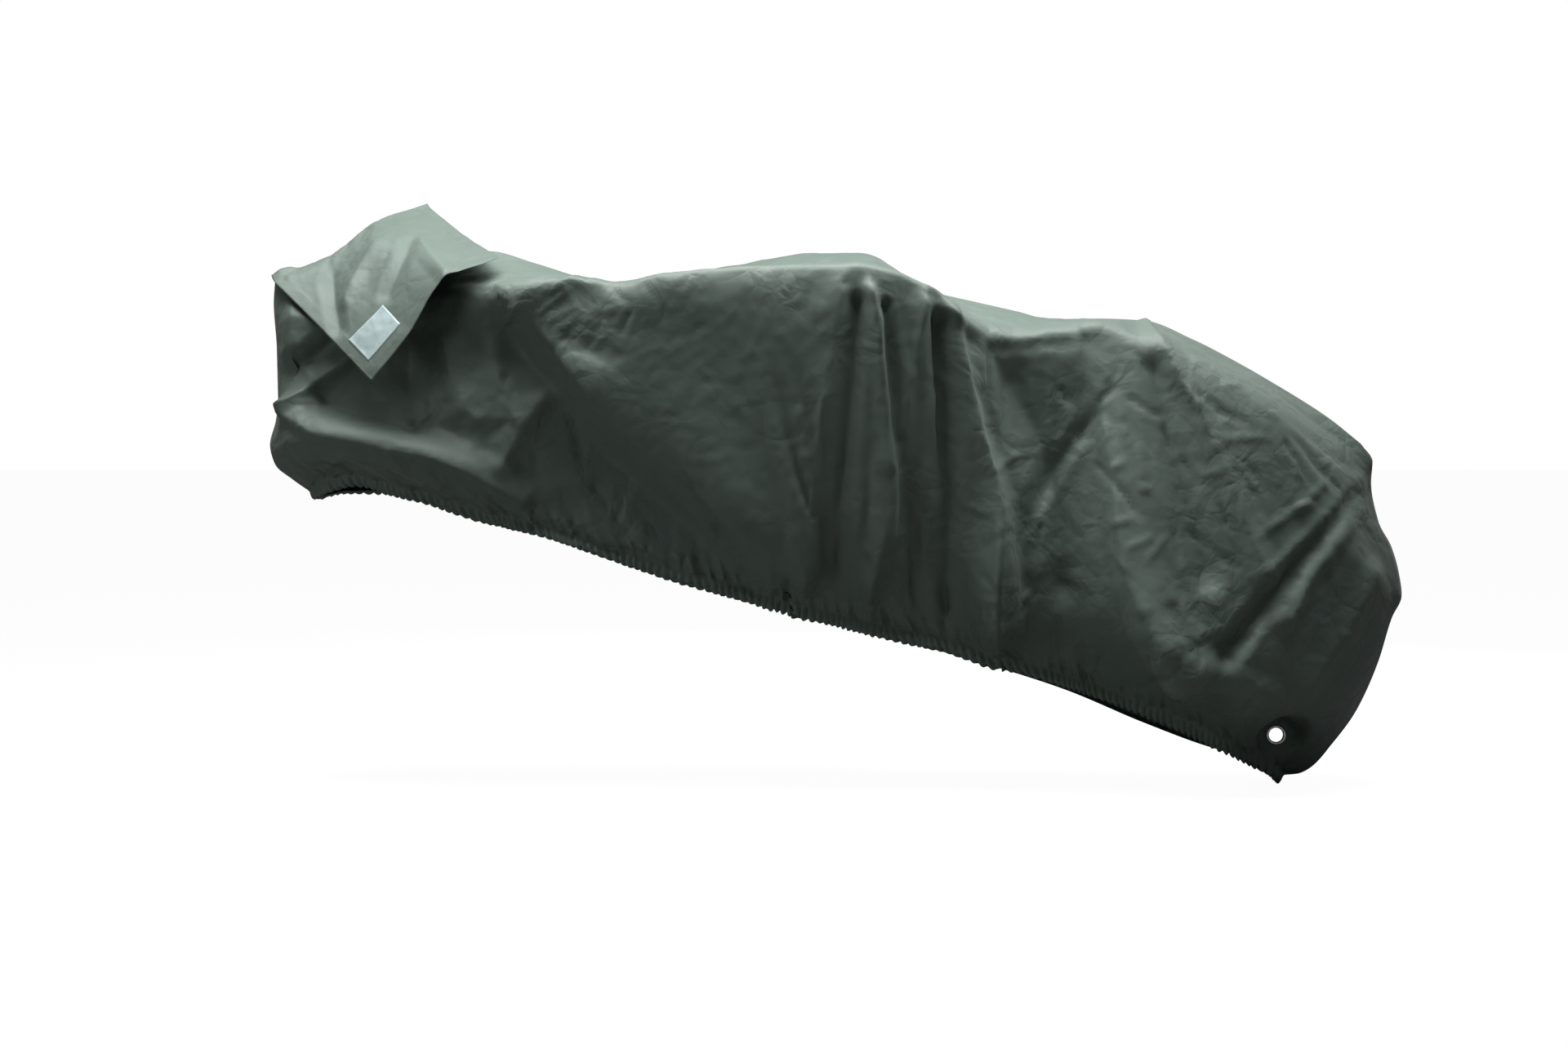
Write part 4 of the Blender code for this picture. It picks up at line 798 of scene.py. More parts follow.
def settled(points, hold, taut, settling):
    """A grid of points after it has settled as cloth. It is cut wider than the shape, so it
    buckles into hanging folds where it is loose, and shrinks to the shape's own width where
    it is taut. Every point is held back softly towards its place: a hold of 1 keeps it."""
    number = np.arange(hold.size).reshape(hold.shape)
    mesh = new_mesh("settling cloth", points.reshape(-1, 3), grid_cells(number).tolist())
    thing = bpy.data.objects.new("settling cloth", mesh)
    bpy.context.scene.collection.objects.link(thing)
    thing.shape_key_add(name="hung")
    cut = thing.shape_key_add(name="cut")
    wide = (points - np.array(HOLD)) * (1.0 + settling.width, 1.0, 1.0)
    cut.data.foreach_set("co", wide.ravel())
    cloth = thing.modifiers.new("cloth", "CLOTH")
    cloth.settings.rest_shape_key = cut
    cloth.settings.vertex_group_mass = weigh(thing, "hold", hold)
    cloth.settings.vertex_group_shrink = weigh(thing, "taut", taut)
    cloth.settings.shrink_min = -settling.growth
    cloth.settings.shrink_max = settling.width
    for key, value in CLOTH_SETTINGS.items():
        setattr(cloth.settings, key, value)
    cloth.settings.bending_stiffness = settling.bending
    cloth.settings.effector_weights.gravity = settling.gravity
    cloth.collision_settings.use_collision = False
    for number in range(1, settling.frames + 1):
        bpy.context.scene.frame_set(number)
    shown = thing.evaluated_get(bpy.context.evaluated_depsgraph_get()).data
    places = np.empty(3 * hold.size)
    shown.vertices.foreach_get("co", places)
    bpy.data.objects.remove(thing, do_unlink=True)
    bpy.data.meshes.remove(mesh)
    bpy.context.scene.frame_set(1)
    return places.reshape(points.shape) + np.array(HOLD)


CALM_HEM = 0.15  # share of a fold that the hem's elastic leaves


def calm_share(stations, down, up):
    """1 where the cloth is free, 0 at the seam and at both ends, and CALM_HEM at the hem,
    whose elastic draws the folds flat."""
    above_hem = CALM_HEM + (1.0 - CALM_HEM) * smooth_step(up / FOLD_FADE)
    return smooth_step(from_ends(stations) / END_FADE) * smooth_step(down / SEAM_FADE) * above_hem


def folded_side(side, stations, down, up, points):
    """The side with its main folds raised along its normals, and how high they rise."""
    folds = NEAR_FOLDS if side == NEAR else FAR_FOLDS
    rise = fold_rise(points[..., 0], points[..., 2], folds) * calm_share(stations, down, up)
    return points + surface_normals(points, side) * rise[:, :, None], rise


def settled_shift(side, columns, rows):
    """How far the cloth moves as it settles, on its own coarser grid of the side. It is tied
    at the seam, the hem, both ends and the eyelet, and held elsewhere by what is under it."""
    stations = np.linspace(SEAM_TOP[0][0], SEAM_TOP[-1][0], columns)
    base = side_base(side, stations, np.linspace(0.0, 1.0, BASE_ROWS))
    lengths = distance_down(base)
    down = np.linspace(0.0, 1.0, rows)[None, :] * lengths[:, -1:]
    up = lengths[:, -1:] - down
    points, rise = folded_side(side, stations, down, up, read_columns(base, lengths, down))
    noise = np.random.default_rng(3).normal(0.0, JITTER, rise.shape)
    points = points + surface_normals(points, side) * noise[:, :, None]
    tied = np.maximum.reduce([
        1.0 - smooth_step(down / 0.05), 1.0 - smooth_step(up / 0.04),
        1.0 - smooth_step(from_ends(stations) / 0.03) + 0.0 * down,
        1.0 - smooth_step((from_eyelet(points, side) - 0.05) / 0.04)])
    place = points[..., 0], points[..., 2]
    held = soft_discs(*place, LOOSE_HOLD, NEAR_HELD if side == NEAR else FAR_HELD)
    held += FOLD_HOLD * np.clip(np.abs(rise) / 0.03, 0.0, 1.0)
    taut = soft_discs(*place, USUAL_TAUT, NEAR_TAUT if side == NEAR else {})
    return settled(points, np.maximum(held, tied), taut, SIDE_SETTLING) - points


def spread(values, at_columns, at_rows):
    """A coarse grid of values read at finer places, given as shares of both directions: a
    cubic across it and down it, then a straight line between the cubic's own points."""
    columns, rows = values.shape[:2]
    wide = through(np.linspace(0.0, 1.0, columns), values, at_columns)
    shares = np.linspace(0.0, 1.0, 4 * rows)
    deep = through(np.linspace(0.0, 1.0, rows), wide.transpose(1, 0, 2), shares)
    deep = deep.transpose(1, 0, 2)
    return read_columns(deep, np.broadcast_to(shares, deep.shape[:2]), at_rows)


def side_grid(side, columns, rows, fine_rows, cloth):
    """Points, cloth places, hem places and slack of one side: its base and folds, as they
    settle, then creases, crumpled facets and hem gathers along the normals. The grid has
    two columns for each of the coarse columns, and its last rows are the fine rows above
    the hem."""
    stations = np.linspace(SEAM_TOP[0][0], SEAM_TOP[-1][0], 2 * columns + 1)
    base = side_base(side, stations, np.linspace(0.0, 1.0, BASE_ROWS))
    lengths = distance_down(base)
    total = lengths[:, -1:]
    main = np.linspace(0.0, 1.0, rows + 1)[None, :] * (total - FINE_ZONE)
    fine = total - FINE_ZONE + np.linspace(0.0, 1.0, fine_rows + 2)[None, 1:] * FINE_ZONE
    down = np.concatenate([main, fine], axis=1)
    up = total - down
    points, _ = folded_side(side, stations, down, up, read_columns(base, lengths, down))
    shift = settled_shift(side, *SETTLING_GRID[side])
    points = points + spread(shift, np.linspace(0.0, 1.0, len(stations)), down / total)
    u = np.broadcast_to(stations[:, None], down.shape)
    seed = SIDE_SEEDS[side]
    rise = np.zeros_like(down)
    if side == NEAR:
        rise += crease_rise(points[..., 0], points[..., 2], NEAR_CREASES) * cloth.crease
    warp_u = u + STRAY * value_noise(u, down, 0.16, seed)
    warp_v = down * SQUEEZE + STRAY * value_noise(u, down, 0.13, seed + 1)
    patchy = smooth_step(0.55 + 0.75 * value_noise(u, down, 0.22, seed + 2))
    facets = crumpled(warp_u, warp_v, FACET, seed + 3) - FACET_LEVEL
    small = crumpled(warp_u, warp_v, SMALL_FACET, seed + 4) - FACET_LEVEL
    taut = soft_discs(points[..., 0], points[..., 2], USUAL_TAUT,
                      NEAR_TAUT if side == NEAR else {})
    slack = 1.0 - 0.8 * taut
    rise += cloth.crumple * patchy * slack * (facets + SMALL_SHARE * small)
    lows, highs = (stations[0], 0.05), (stations[-1], 1.15)
    rise += crow_feet(u, down, STARS, lows, highs, seed + 5) * cloth.crease
    ends = from_ends(stations)
    calm = (smooth_step(ends / END_FADE) * smooth_step(down / SEAM_FADE)
            * smooth_step(up / CREASE_FADE))
    points = points + surface_normals(points, side) * (rise * calm)[:, :, None]
    hem_steps = np.linalg.norm(np.diff(points[:, -1], axis=0), axis=1)
    along = np.concatenate([[0.0], np.cumsum(hem_steps)])
    gathers = hem_gathers(along, up, cloth, seed + 6) * smooth_step(ends / 0.012)
    points = points + surface_normals(points, side) * gathers[:, :, None]
    radius = from_eyelet(points, side)
    flat = 1.0 - smooth_step((radius - FLAT_RADIUS) / (FLAT_FADE - FLAT_RADIUS))
    points[..., 1] += flat * (eyelet_y(side) - points[..., 1])
    for edge in ((slice(None), 0), (0, slice(None)), (-1, slice(None))):
        points[edge][..., 1] = middle_y(points[edge][..., 2]) + side * GAP / 2.0
    hem_places = np.stack([along[:, None] + 0.0 * up, up], axis=2)
    return points, np.stack([u, down], axis=2), hem_places, slack[:, :, None]


# ---------------------------------------------------------------- meshes


def numbered(points):
    """The order numbers of a grid's points, from 0, in the grid's own shape."""
    return np.arange(points.shape[0] * points.shape[1]).reshape(points.shape[:2])


def grid_cells(number):
    """Corners of every cell of a numbered grid, in order along, then down."""
    return np.stack([number[:-1, :-1], number[1:, :-1], number[1:, 1:], number[:-1, 1:]],
                    axis=2).reshape(-1, 4)


def new_mesh(name, points, faces, maps=(), slack=None):
    """A smooth mesh of the points in the frame, with a UV map for each pair of cloth
    places, and the slack of the cloth as an attribute."""
    mesh = bpy.data.meshes.new(name)
    mesh.from_pydata(in_frame(points).tolist(), [], faces)
    corners = np.empty(len(mesh.loops), np.int32)
    mesh.loops.foreach_get("vertex_index", corners)
    for title, places in maps:
        layer = mesh.uv_layers.new(name=title)
        layer.data.foreach_set("uv", places[corners].astype(np.float32).ravel())
    if slack is not None:
        layer = mesh.attributes.new("slack", "FLOAT", "POINT")
        layer.data.foreach_set("value", slack.astype(np.float32).ravel())
    mesh.shade_smooth()
    mesh.validate()
    return mesh


def read_points(vertices, key):
    """A vector of every vertex, as rows of three."""
    values = np.empty(3 * len(vertices))
    vertices.foreach_get(key, values)
    return values.reshape(-1, 3)


def add_piece(mesh, material, body="root"):
    """An object of the mesh, in the material, that rides on the body."""
    piece = bpy.data.objects.new(mesh.name, mesh)
    bpy.context.scene.collection.objects.link(piece)
    mesh.materials.append(material)
    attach(piece, body)
    return piece


def add_thickness(piece, thickness):
    """Cloth thickness, added behind the outer face."""
    solid = piece.modifiers.new("cloth thickness", "SOLIDIFY")
    solid.thickness = thickness
    solid.offset = -1.0
    solid.use_even_offset = False


def side_mesh(name, side, columns, rows, fine_rows, cloth):
    """The grid of one side: coarse cells, one row of five-cornered cells that doubles the
    columns, then fine cells down to the hem. Cells over the eyelet's hole are left out, and
    the cloth's edge there is pulled onto a circle."""
    points, cloth_uv, hem_uv, slack = side_grid(side, columns, rows, fine_rows, cloth)
    coarse = np.arange((columns + 1) * (rows + 1)).reshape(columns + 1, rows + 1)
    fine = coarse.size + np.arange((2 * columns + 1) * (fine_rows + 1))
    fine = fine.reshape(2 * columns + 1, fine_rows + 1)

    def gathered(values):
        """The grid as one list: every second column of the coarse rows, then the fine rows."""
        top, bottom = values[::2, :rows + 1], values[:, rows + 1:]
        return np.concatenate([top.reshape(-1, values.shape[2]),
                               bottom.reshape(-1, values.shape[2])])

    places = gathered(points)
    quads = np.concatenate([grid_cells(coarse), grid_cells(fine)])
    joins = np.stack([coarse[:-1, -1], coarse[1:, -1], fine[2::2, 0], fine[1::2, 0],
                      fine[:-2:2, 0]], axis=1)
    eyelet = EYELETS[side]
    centre = np.array((eyelet.x, eyelet.z))
    kept, dropped = [], []
    for cells in (quads, joins):
        middles = places[cells][:, :, (0, 2)].mean(axis=1)
        away = np.linalg.norm(middles - centre, axis=1) > HOLE_RADIUS
        kept.append(cells[away])
        dropped.append(cells[~away].ravel())
    used = np.concatenate([cells.ravel() for cells in kept])
    rim = np.intersect1d(used, np.concatenate(dropped))
    offset = places[rim][:, (0, 2)] - centre
    offset *= HOLE_RADIUS / np.linalg.norm(offset, axis=1, keepdims=True)
    places[rim[:, None], (0, 2)] = centre + offset
    renumber = np.full(len(places), -1)
    order = np.unique(used)
    renumber[order] = np.arange(len(order))
    step = 1 if side == FAR else -1
    faces = [face for cells in kept for face in renumber[cells][:, ::step].tolist()]
    maps = (("cloth", gathered(cloth_uv)[order]), ("hem", gathered(hem_uv)[order]))
    return new_mesh(name, places[order], faces, maps, gathered(slack)[order])


# ---------------------------------------------------------------- the flap and its label


FRONT_TO_REAR = (0.0, 0.34, 0.68, 1.0)
ACROSS_THE_FLAP = (0.0, 0.34, 0.68, 1.0)  # loose edge, middle, crest and sewn edge
SEWN_STATIONS, SEWN_DROP = (-1.038, -0.685), 0.278
FLAP_SETTLING = Settling(width=0.030, growth=0.030, bending=1.0, gravity=0.10, frames=20)
FLAP_SETTLING_GRID = (60, 50)
FLAP_HOLD, FLAP_TAUT = 0.12, 0.3  # how firmly the loose part is held, and how taut it is
# The lift that sets the flap clear of the cover: the most of it, the most around the front
# corner, how far round that is, the rounds that even it out, the passes, and the points
# that are worked out at once.
MOST_LIFT, CORNER_LIFT, CORNER_REACH = 0.030, 0.001, 0.10
LIFT_ROUNDS, LIFT_PASSES, LIFT_BLOCK = 8, 5, 1000
# The flap's small forms: the depth of its facets, how far they stray, its stars and their
# share of the height, and its hem's rise, waves and fade.
FLAP_CRUMPLE, FLAP_STRAY, FLAP_STARS, FLAP_STAR_SHARE = 0.0022, 0.02, 16, 0.6
FLAP_HEM_RISE, FLAP_HEM_WAVE, FLAP_HEM_FADE = 0.0009, 0.0007, 0.004
FLAP_SEED = 91


def sewn_line(over):
    """Where the flap is sewn down: along one distance down the far side, folds and all."""
    stations = np.interp(over, (0.0, 1.0), SEWN_STATIONS)
    points = side_base(FAR, stations, SEWN_DROP + np.array((-0.01, 0.0, 0.01)))
    rise = fold_rise(points[..., 0], points[..., 2], FAR_FOLDS)
    return (points + surface_normals(points, FAR) * rise[:, :, None])[:, 1]


def flap_base(across, over):
    """The flap's surface: its lines joined from front to rear, then read from the loose edge
    over the crest to the sewn edge, both by the same cubic."""
    lines = through(FRONT_TO_REAR, np.array(FLAP_LINES), over)
    lines = np.concatenate([lines, sewn_line(over)[:, None]], axis=1)
    return through(ACROSS_THE_FLAP, lines.transpose(1, 0, 2), across)


def flap_shift(columns, rows):
    """How far the flap moves as it settles, held at its sewn edge and less at its crest."""
    across = np.linspace(0.0, 1.0, columns)
    points = flap_base(across, np.linspace(0.0, 1.0, rows))
    noise = np.random.default_rng(8).normal(0.0, JITTER, points.shape[:2])
    points = points + surface_normals(points, NEAR) * noise[:, :, None]
    sewn = smooth_step((across - 0.60) / 0.40)[:, None] + 0.0 * noise
    hold = FLAP_HOLD + (1.0 - FLAP_HOLD) * sewn
    return settled(points, hold, np.full(hold.shape, FLAP_TAUT), FLAP_SETTLING) - points


def lifted_clear(points, normals, cover_points, cover_normals, clearance, most):
    """The points, moved out along their own normals where they would lie closer than the
    clearance to the cover: each is set against the nearest place of the cover, by a table of
    squared distances. The lift is at most the given one, and is evened out over its
    neighbours."""
    flat = points.reshape(-1, 3)
    squared = (cover_points ** 2).sum(axis=1)
    height = np.empty(len(flat))
    for first in range(0, len(flat), LIFT_BLOCK):
        part = flat[first:first + LIFT_BLOCK]
        nearest = (squared[None, :] - 2.0 * part @ cover_points.T).argmin(axis=1)
        away = part - cover_points[nearest]
        height[first:first + LIFT_BLOCK] = (away * cover_normals[nearest]).sum(axis=1)
    lift = np.clip(clearance - height.reshape(points.shape[:2]), 0.0, most)
    for _ in range(LIFT_ROUNDS):
        wide = np.pad(lift, 1, mode="edge")
        beside = wide[:-2, 1:-1] + wide[2:, 1:-1] + wide[1:-1, :-2] + wide[1:-1, 2:]
        lift = (lift + beside) / 5.0
    return points + normals * lift[:, :, None]


def along_grid(points):
    """Distances from the first row and column of a grid, along both of its directions."""
    first = np.linalg.norm(np.diff(points, axis=0), axis=2)
    second = np.linalg.norm(np.diff(points, axis=1), axis=2)
    return (np.concatenate([np.zeros((1, points.shape[1])), np.cumsum(first, axis=0)]),
            np.concatenate([np.zeros((points.shape[0], 1)), np.cumsum(second, axis=1)], axis=1))


def flap_grid(columns, rows, sizes, cloth, cover_points, cover_normals):
    """Points, cloth places and edge places of the flap: its surface as it settles, with
    folds, crumpled facets, stars and a thicker hem along the normals, lifted clear of the
    cover a pass at a time, and hardly at all around its front corner."""
    across, over = np.linspace(0.0, 1.0, columns), np.linspace(0.0, 1.0, rows)
    points = flap_base(across, over)
    points = points + spread(flap_shift(*FLAP_SETTLING_GRID), across,
                             np.broadcast_to(over, points.shape[:2]))
    from_loose, from_front = along_grid(points)
    to_rear = from_front[:, -1:] - from_front
    rise = fold_rise(points[..., 0], points[..., 2], FLAP_FOLDS)
    places = from_loose, from_front
    warp_u = from_loose + FLAP_STRAY * value_noise(*places, 0.12, FLAP_SEED)
    warp_v = from_front + FLAP_STRAY * value_noise(*places, 0.10, FLAP_SEED + 1)
    rise += FLAP_CRUMPLE * (crumpled(warp_u, warp_v, 0.090, FLAP_SEED + 2) - FACET_LEVEL)
    rise += FLAP_STAR_SHARE * crow_feet(*places, FLAP_STARS, (0.03, 0.0), (0.6, 0.55),
                                        FLAP_SEED + 3)
    edge = np.minimum(np.minimum(from_loose, from_front), to_rear)
    band = 1.0 - smooth_step((edge - sizes.hem_width) / FLAP_HEM_FADE)
    wavy = value_noise(*places, 0.030, FLAP_SEED + 4)
    rise += band * (FLAP_HEM_RISE + FLAP_HEM_WAVE * wavy)
    normals = surface_normals(points, NEAR)
    points = points + normals * rise[:, :, None]
    from_corner = np.linalg.norm(points - np.array(FLAP_LINES[0].crest), axis=2)
    most = CORNER_LIFT + (MOST_LIFT - CORNER_LIFT) * smooth_step(from_corner / CORNER_REACH)
    for _ in range(LIFT_PASSES):
        points = lifted_clear(points, surface_normals(points, NEAR), cover_points,
                              cover_normals, sizes.clearance + cloth.thickness, most)
    on_loose = (from_loose <= from_front) & (from_loose <= to_rear)
    run = np.where(on_loose, from_front, from_loose)
    return (points, np.stack([from_loose, from_front], axis=2),
            np.stack([run, edge], axis=2))


def sampled(points, columns, rows):
    """A smaller part of a grid at fractional columns and rows, by straight interpolation."""
    i, j = np.floor(columns).astype(int), np.floor(rows).astype(int)
    s, t = (columns - i)[..., None], (rows - j)[..., None]
    return ((points[i, j] * (1 - s) + points[i + 1, j] * s) * (1 - t)
            + (points[i, j + 1] * (1 - s) + points[i + 1, j + 1] * s) * t)


# ---------------------------------------------------------------- materials


def give(tree, made, inputs):
    """Gives a node its inputs by name: a socket is linked, and a value is set."""
    for key, value in dict(inputs).items():
        if isinstance(value, bpy.types.NodeSocket):
            tree.links.new(value, made.inputs[key])
        else:
            made.inputs[key].default_value = value


def node(tree, kind, inputs=(), **settings):
    """A new node with its settings and its inputs."""
    made = tree.nodes.new(kind)
    for key, value in settings.items():
        setattr(made, key, value)
    give(tree, made, inputs)
    return made


def calc(tree, operation, *values):
    """A maths node on values or sockets, in order."""
    return node(tree, "ShaderNodeMath", enumerate(values), operation=operation).outputs[0]


def new_group(name, inputs, outputs):
    """An empty shader node group with named sockets, and its two end nodes."""
    group = bpy.data.node_groups.new(name, "ShaderNodeTree")
    for title, kind, default in inputs:
        socket = group.interface.new_socket(title, in_out="INPUT", socket_type=kind)
        if default is not None:
            socket.default_value = default
    for title, kind in outputs:
        group.interface.new_socket(title, in_out="OUTPUT", socket_type=kind)
    return group, group.nodes.new("NodeGroupInput"), group.nodes.new("NodeGroupOutput")


VECTOR, FLOAT = "NodeSocketVector", "NodeSocketFloat"


def weave_group():
    """Plain weave: the product of two sines along and across the cloth, over the thread."""
    group, given, result = new_group(
        "Plain weave", (("Vector", VECTOR, None), ("Thread", FLOAT, 0.0006)),
        (("Height", FLOAT),))
    split = node(group, "ShaderNodeSeparateXYZ", {"Vector": given.outputs["Vector"]})
    turn = calc(group, "DIVIDE", math.tau, given.outputs["Thread"])
    waves = [calc(group, "SINE", calc(group, "MULTIPLY", split.outputs[axis], turn))
             for axis in "XY"]
    height = calc(group, "MULTIPLY_ADD", calc(group, "MULTIPLY", *waves), 0.5, 0.5)
    group.links.new(height, result.inputs["Height"])
    return group


def stitch_group():
    """A row of stitches at a distance from an edge: 1 on each stitch. The place's x runs
    along the edge and its y away from it, and a sine cuts the row into stitches."""
    group, given, result = new_group(
        "Stitch row", (("Place", VECTOR, None), ("At", FLOAT, 0.02), ("Pitch", FLOAT, 0.004),
                       ("Half width", FLOAT, 0.0006)), (("Mask", FLOAT),))
    split = node(group, "ShaderNodeSeparateXYZ", {"Vector": given.outputs["Place"]})
    off = calc(group, "SUBTRACT", split.outputs["Y"], given.outputs["At"])
    off = calc(group, "DIVIDE", calc(group, "ABSOLUTE", off), given.outputs["Half width"])
    line = calc(group, "SUBTRACT", 1.0, calc(group, "MINIMUM", off, 1.0))
    turn = calc(group, "DIVIDE", math.tau, given.outputs["Pitch"])
    wave = calc(group, "SINE", calc(group, "MULTIPLY", split.outputs["X"], turn))
    dash = calc(group, "GREATER_THAN", wave, -0.45)
    group.links.new(calc(group, "MULTIPLY", line, dash), result.inputs["Mask"])
    return group


def wear_group():
    """Handling marks on cloth: cloudy patches, and the height in metres of its fine creases.
    These are the roofs of warped cells at two scales, flat from a crease to the next, where
    a second cloud is bright and the cloth is slack."""
    group, given, result = new_group(
        "Handled cloth", (("Vector", VECTOR, None), ("Cell", FLOAT, 0.060),
                          ("Slope", FLOAT, 0.16), ("Slack", FLOAT, 1.0)),
        (("Cloud", FLOAT), ("Height", FLOAT)))
    place = given.outputs["Vector"]
    cloud = node(group, "ShaderNodeTexNoise",
                 {"Vector": place, "Scale": 5.0, "Detail": 4.0, "Roughness": 0.55})
    warp = node(group, "ShaderNodeTexNoise", {"Vector": place, "Scale": 9.0, "Detail": 1.0})
    moved = node(group, "ShaderNodeMix", {0: 0.07, 4: place, 5: warp.outputs["Color"]},
                 data_type="VECTOR")
    roofs = []
    for share, weight in ((1.0, 1.0), (0.42, 0.7)):
        cell = calc(group, "MULTIPLY", given.outputs["Cell"], share)
        cells = node(group, "ShaderNodeTexVoronoi",
                     {"Vector": moved.outputs[1], "Scale": calc(group, "DIVIDE", 1.0, cell)},
                     feature="DISTANCE_TO_EDGE")
        rise = calc(group, "MULTIPLY", cells.outputs["Distance"], cell)
        roofs.append(calc(group, "MULTIPLY", rise, weight))
    patch = node(group, "ShaderNodeTexNoise", {"Vector": place, "Scale": 6.0, "Detail": 1.0})
    keep = node(group, "ShaderNodeMapRange",
                {"Value": patch.outputs[0], "From Min": 0.35, "From Max": 0.62,
                 "To Min": 0.25})
    slope = calc(group, "MULTIPLY", given.outputs["Slope"], given.outputs["Slack"])
    height = calc(group, "MULTIPLY", calc(group, "ADD", *roofs), slope)
    group.links.new(cloud.outputs[0], result.inputs["Cloud"])
    group.links.new(calc(group, "MULTIPLY", height, keep.outputs[0]), result.inputs["Height"])
    return group


def group_node(tree, name, build, inputs):
    """The named group placed in a material, built on its first use."""
    group = bpy.data.node_groups.get(name) or build()
    return node(tree, "ShaderNodeGroup", inputs, node_tree=group)


def new_material(name):
    """An empty material, its tree and its shader."""
    material = bpy.data.materials.new(name)
    material.use_nodes = True
    tree = material.node_tree
    return material, tree, tree.nodes["Principled BSDF"]


def shaded(tree, colour, factor, dark, light):
    """A colour between a darker and a lighter share of itself."""
    ends = [tuple(min(1.0, channel * share) for channel in colour) + (1.0,)
            for share in (dark, light)]
    return node(tree, "ShaderNodeMix", {0: factor, 6: ends[0], 7: ends[1]},
                data_type="RGBA").outputs[2]


def cloth_material(cloth, name, edge_map, stitch_rows):
    """Coated cloth: semi-matte, cloudy, with fine creases where the mesh's slack attribute is
    high, a plain weave and stitch rows."""
    material, tree, shader = new_material(name)
    place = node(tree, "ShaderNodeTexCoord").outputs["Object"]
    cloth_uv = node(tree, "ShaderNodeUVMap", uv_map="cloth").outputs["UV"]
    edge_uv = node(tree, "ShaderNodeUVMap", uv_map=edge_map).outputs["UV"]
    slack = node(tree, "ShaderNodeAttribute", attribute_name="slack").outputs["Fac"]
    wear = group_node(tree, "Handled cloth", wear_group, {"Vector": place, "Slack": slack})
    weave = group_node(tree, "Plain weave", weave_group,
                       {"Vector": cloth_uv, "Thread": cloth.thread})
    colour = shaded(tree, cloth.colour, wear.outputs["Cloud"], 0.86, 1.14)
    normal = node(tree, "ShaderNodeBump", {"Strength": 1.0, "Distance": 1.0,
                                           "Height": wear.outputs["Height"]}).outputs[0]
    normal = node(tree, "ShaderNodeBump",
                  {"Strength": 0.22, "Distance": 0.00012, "Normal": normal,
                   "Height": weave.outputs["Height"]}).outputs[0]
    for at in stitch_rows:
        stitches = group_node(tree, "Stitch row", stitch_group, {"Place": edge_uv, "At": at})
        normal = node(tree, "ShaderNodeBump",
                      {"Strength": 0.5, "Distance": 0.0008, "Normal": normal,
                       "Height": stitches.outputs["Mask"]}).outputs[0]
    rough = node(tree, "ShaderNodeMapRange",
                 {"Value": wear.outputs["Cloud"], "From Min": 0.3, "From Max": 0.7,
                  "To Min": 0.50, "To Max": 0.62}).outputs[0]
    give(tree, shader, {"Base Color": colour, "Roughness": rough, "Normal": normal,
                        "Specular IOR Level": 0.42, "Sheen Weight": 0.10,
                        "Sheen Roughness": 0.45})
    return material


def label_material(sizes):
    """Bare woven label: satin threads across it, a stitched border, and a cloudy colour that is
    painted sheen of the satin.
    """
    material, tree, shader = new_material("woven label")
    cloth_uv = node(tree, "ShaderNodeUVMap", uv_map="cloth").outputs["UV"]
    edge_uv = node(tree, "ShaderNodeUVMap", uv_map="edge").outputs["UV"]
    place = node(tree, "ShaderNodeTexCoord").outputs["Object"]
    cloud = node(tree, "ShaderNodeTexNoise", {"Vector": place, "Scale": 28.0, "Detail": 3.0})
    weave = group_node(tree, "Plain weave", weave_group, {"Vector": cloth_uv, "Thread": 0.0011})
    stitches = group_node(tree, "Stitch row", stitch_group,
                          {"Place": edge_uv, "At": sizes.label_border, "Pitch": 0.0035,
                           "Half width": 0.0009})
    # Painted sheen: the cloud lightens and darkens the label's colour in patches, standing in for
    # the satin's patchy sheen.
    base = shaded(tree, sizes.label_colour, cloud.outputs[0], 0.66, 1.34)
    thread = tuple(min(1.0, channel * 1.6) for channel in sizes.label_colour) + (1.0,)
    colour = node(tree, "ShaderNodeMix", {0: stitches.outputs["Mask"], 6: base, 7: thread},
                  data_type="RGBA").outputs[2]
    normal = node(tree, "ShaderNodeBump", {"Strength": 0.5, "Distance": 0.0002,
                                           "Height": weave.outputs["Height"]}).outputs[0]
    normal = node(tree, "ShaderNodeBump",
                  {"Strength": 0.8, "Distance": 0.0008, "Normal": normal,
                   "Height": stitches.outputs["Mask"]}).outputs[0]
    give(tree, shader, {"Base Color": colour, "Normal": normal, "Roughness": 0.42,
                        "Sheen Weight": 0.2})
    return material


def metal_material(sizes):
    """Plated metal, brushed round by handling: roughness follows a fine cloud."""
    material, tree, shader = new_material("eyelet metal")
    place = node(tree, "ShaderNodeTexCoord").outputs["Object"]
    grain = node(tree, "ShaderNodeTexNoise", {"Vector": place, "Scale": 320.0, "Detail": 3.0})
    rough = node(tree, "ShaderNodeMapRange", {"Value": grain.outputs[0], "To Min": 0.14,
                                              "To Max": 0.34}).outputs[0]
    colour = shaded(tree, sizes.colour, grain.outputs[0], 0.9, 1.08)
    give(tree, shader, {"Base Color": colour, "Roughness": rough, "Metallic": 1.0})
    return material


# ---------------------------------------------------------------- operators


# Columns, rows and fine rows of a side.
NEAR_GRID = (330, 104, 17)
FAR_GRID = (220, 70, 10)
# The cut of a piece: its longest row and column along the cloth, folds and all, and its area.
Flat = namedtuple("Flat", "size area")
NEAR_FLAT = Flat((3.10, 1.15), 2.51)
FAR_FLAT = Flat((2.90, 1.15), 2.31)

FLAP_GRID = (121, 101)
FLAP_REACH = -0.35  # the flap is set against what lies in front of this
FLAP_SLACK = 0.6
LABEL_ACROSS, LABEL_OVER = (0.07, 0.21), (0.07, 0.36)  # the label's shares of the flap
LABEL_GRID = (25, 41)
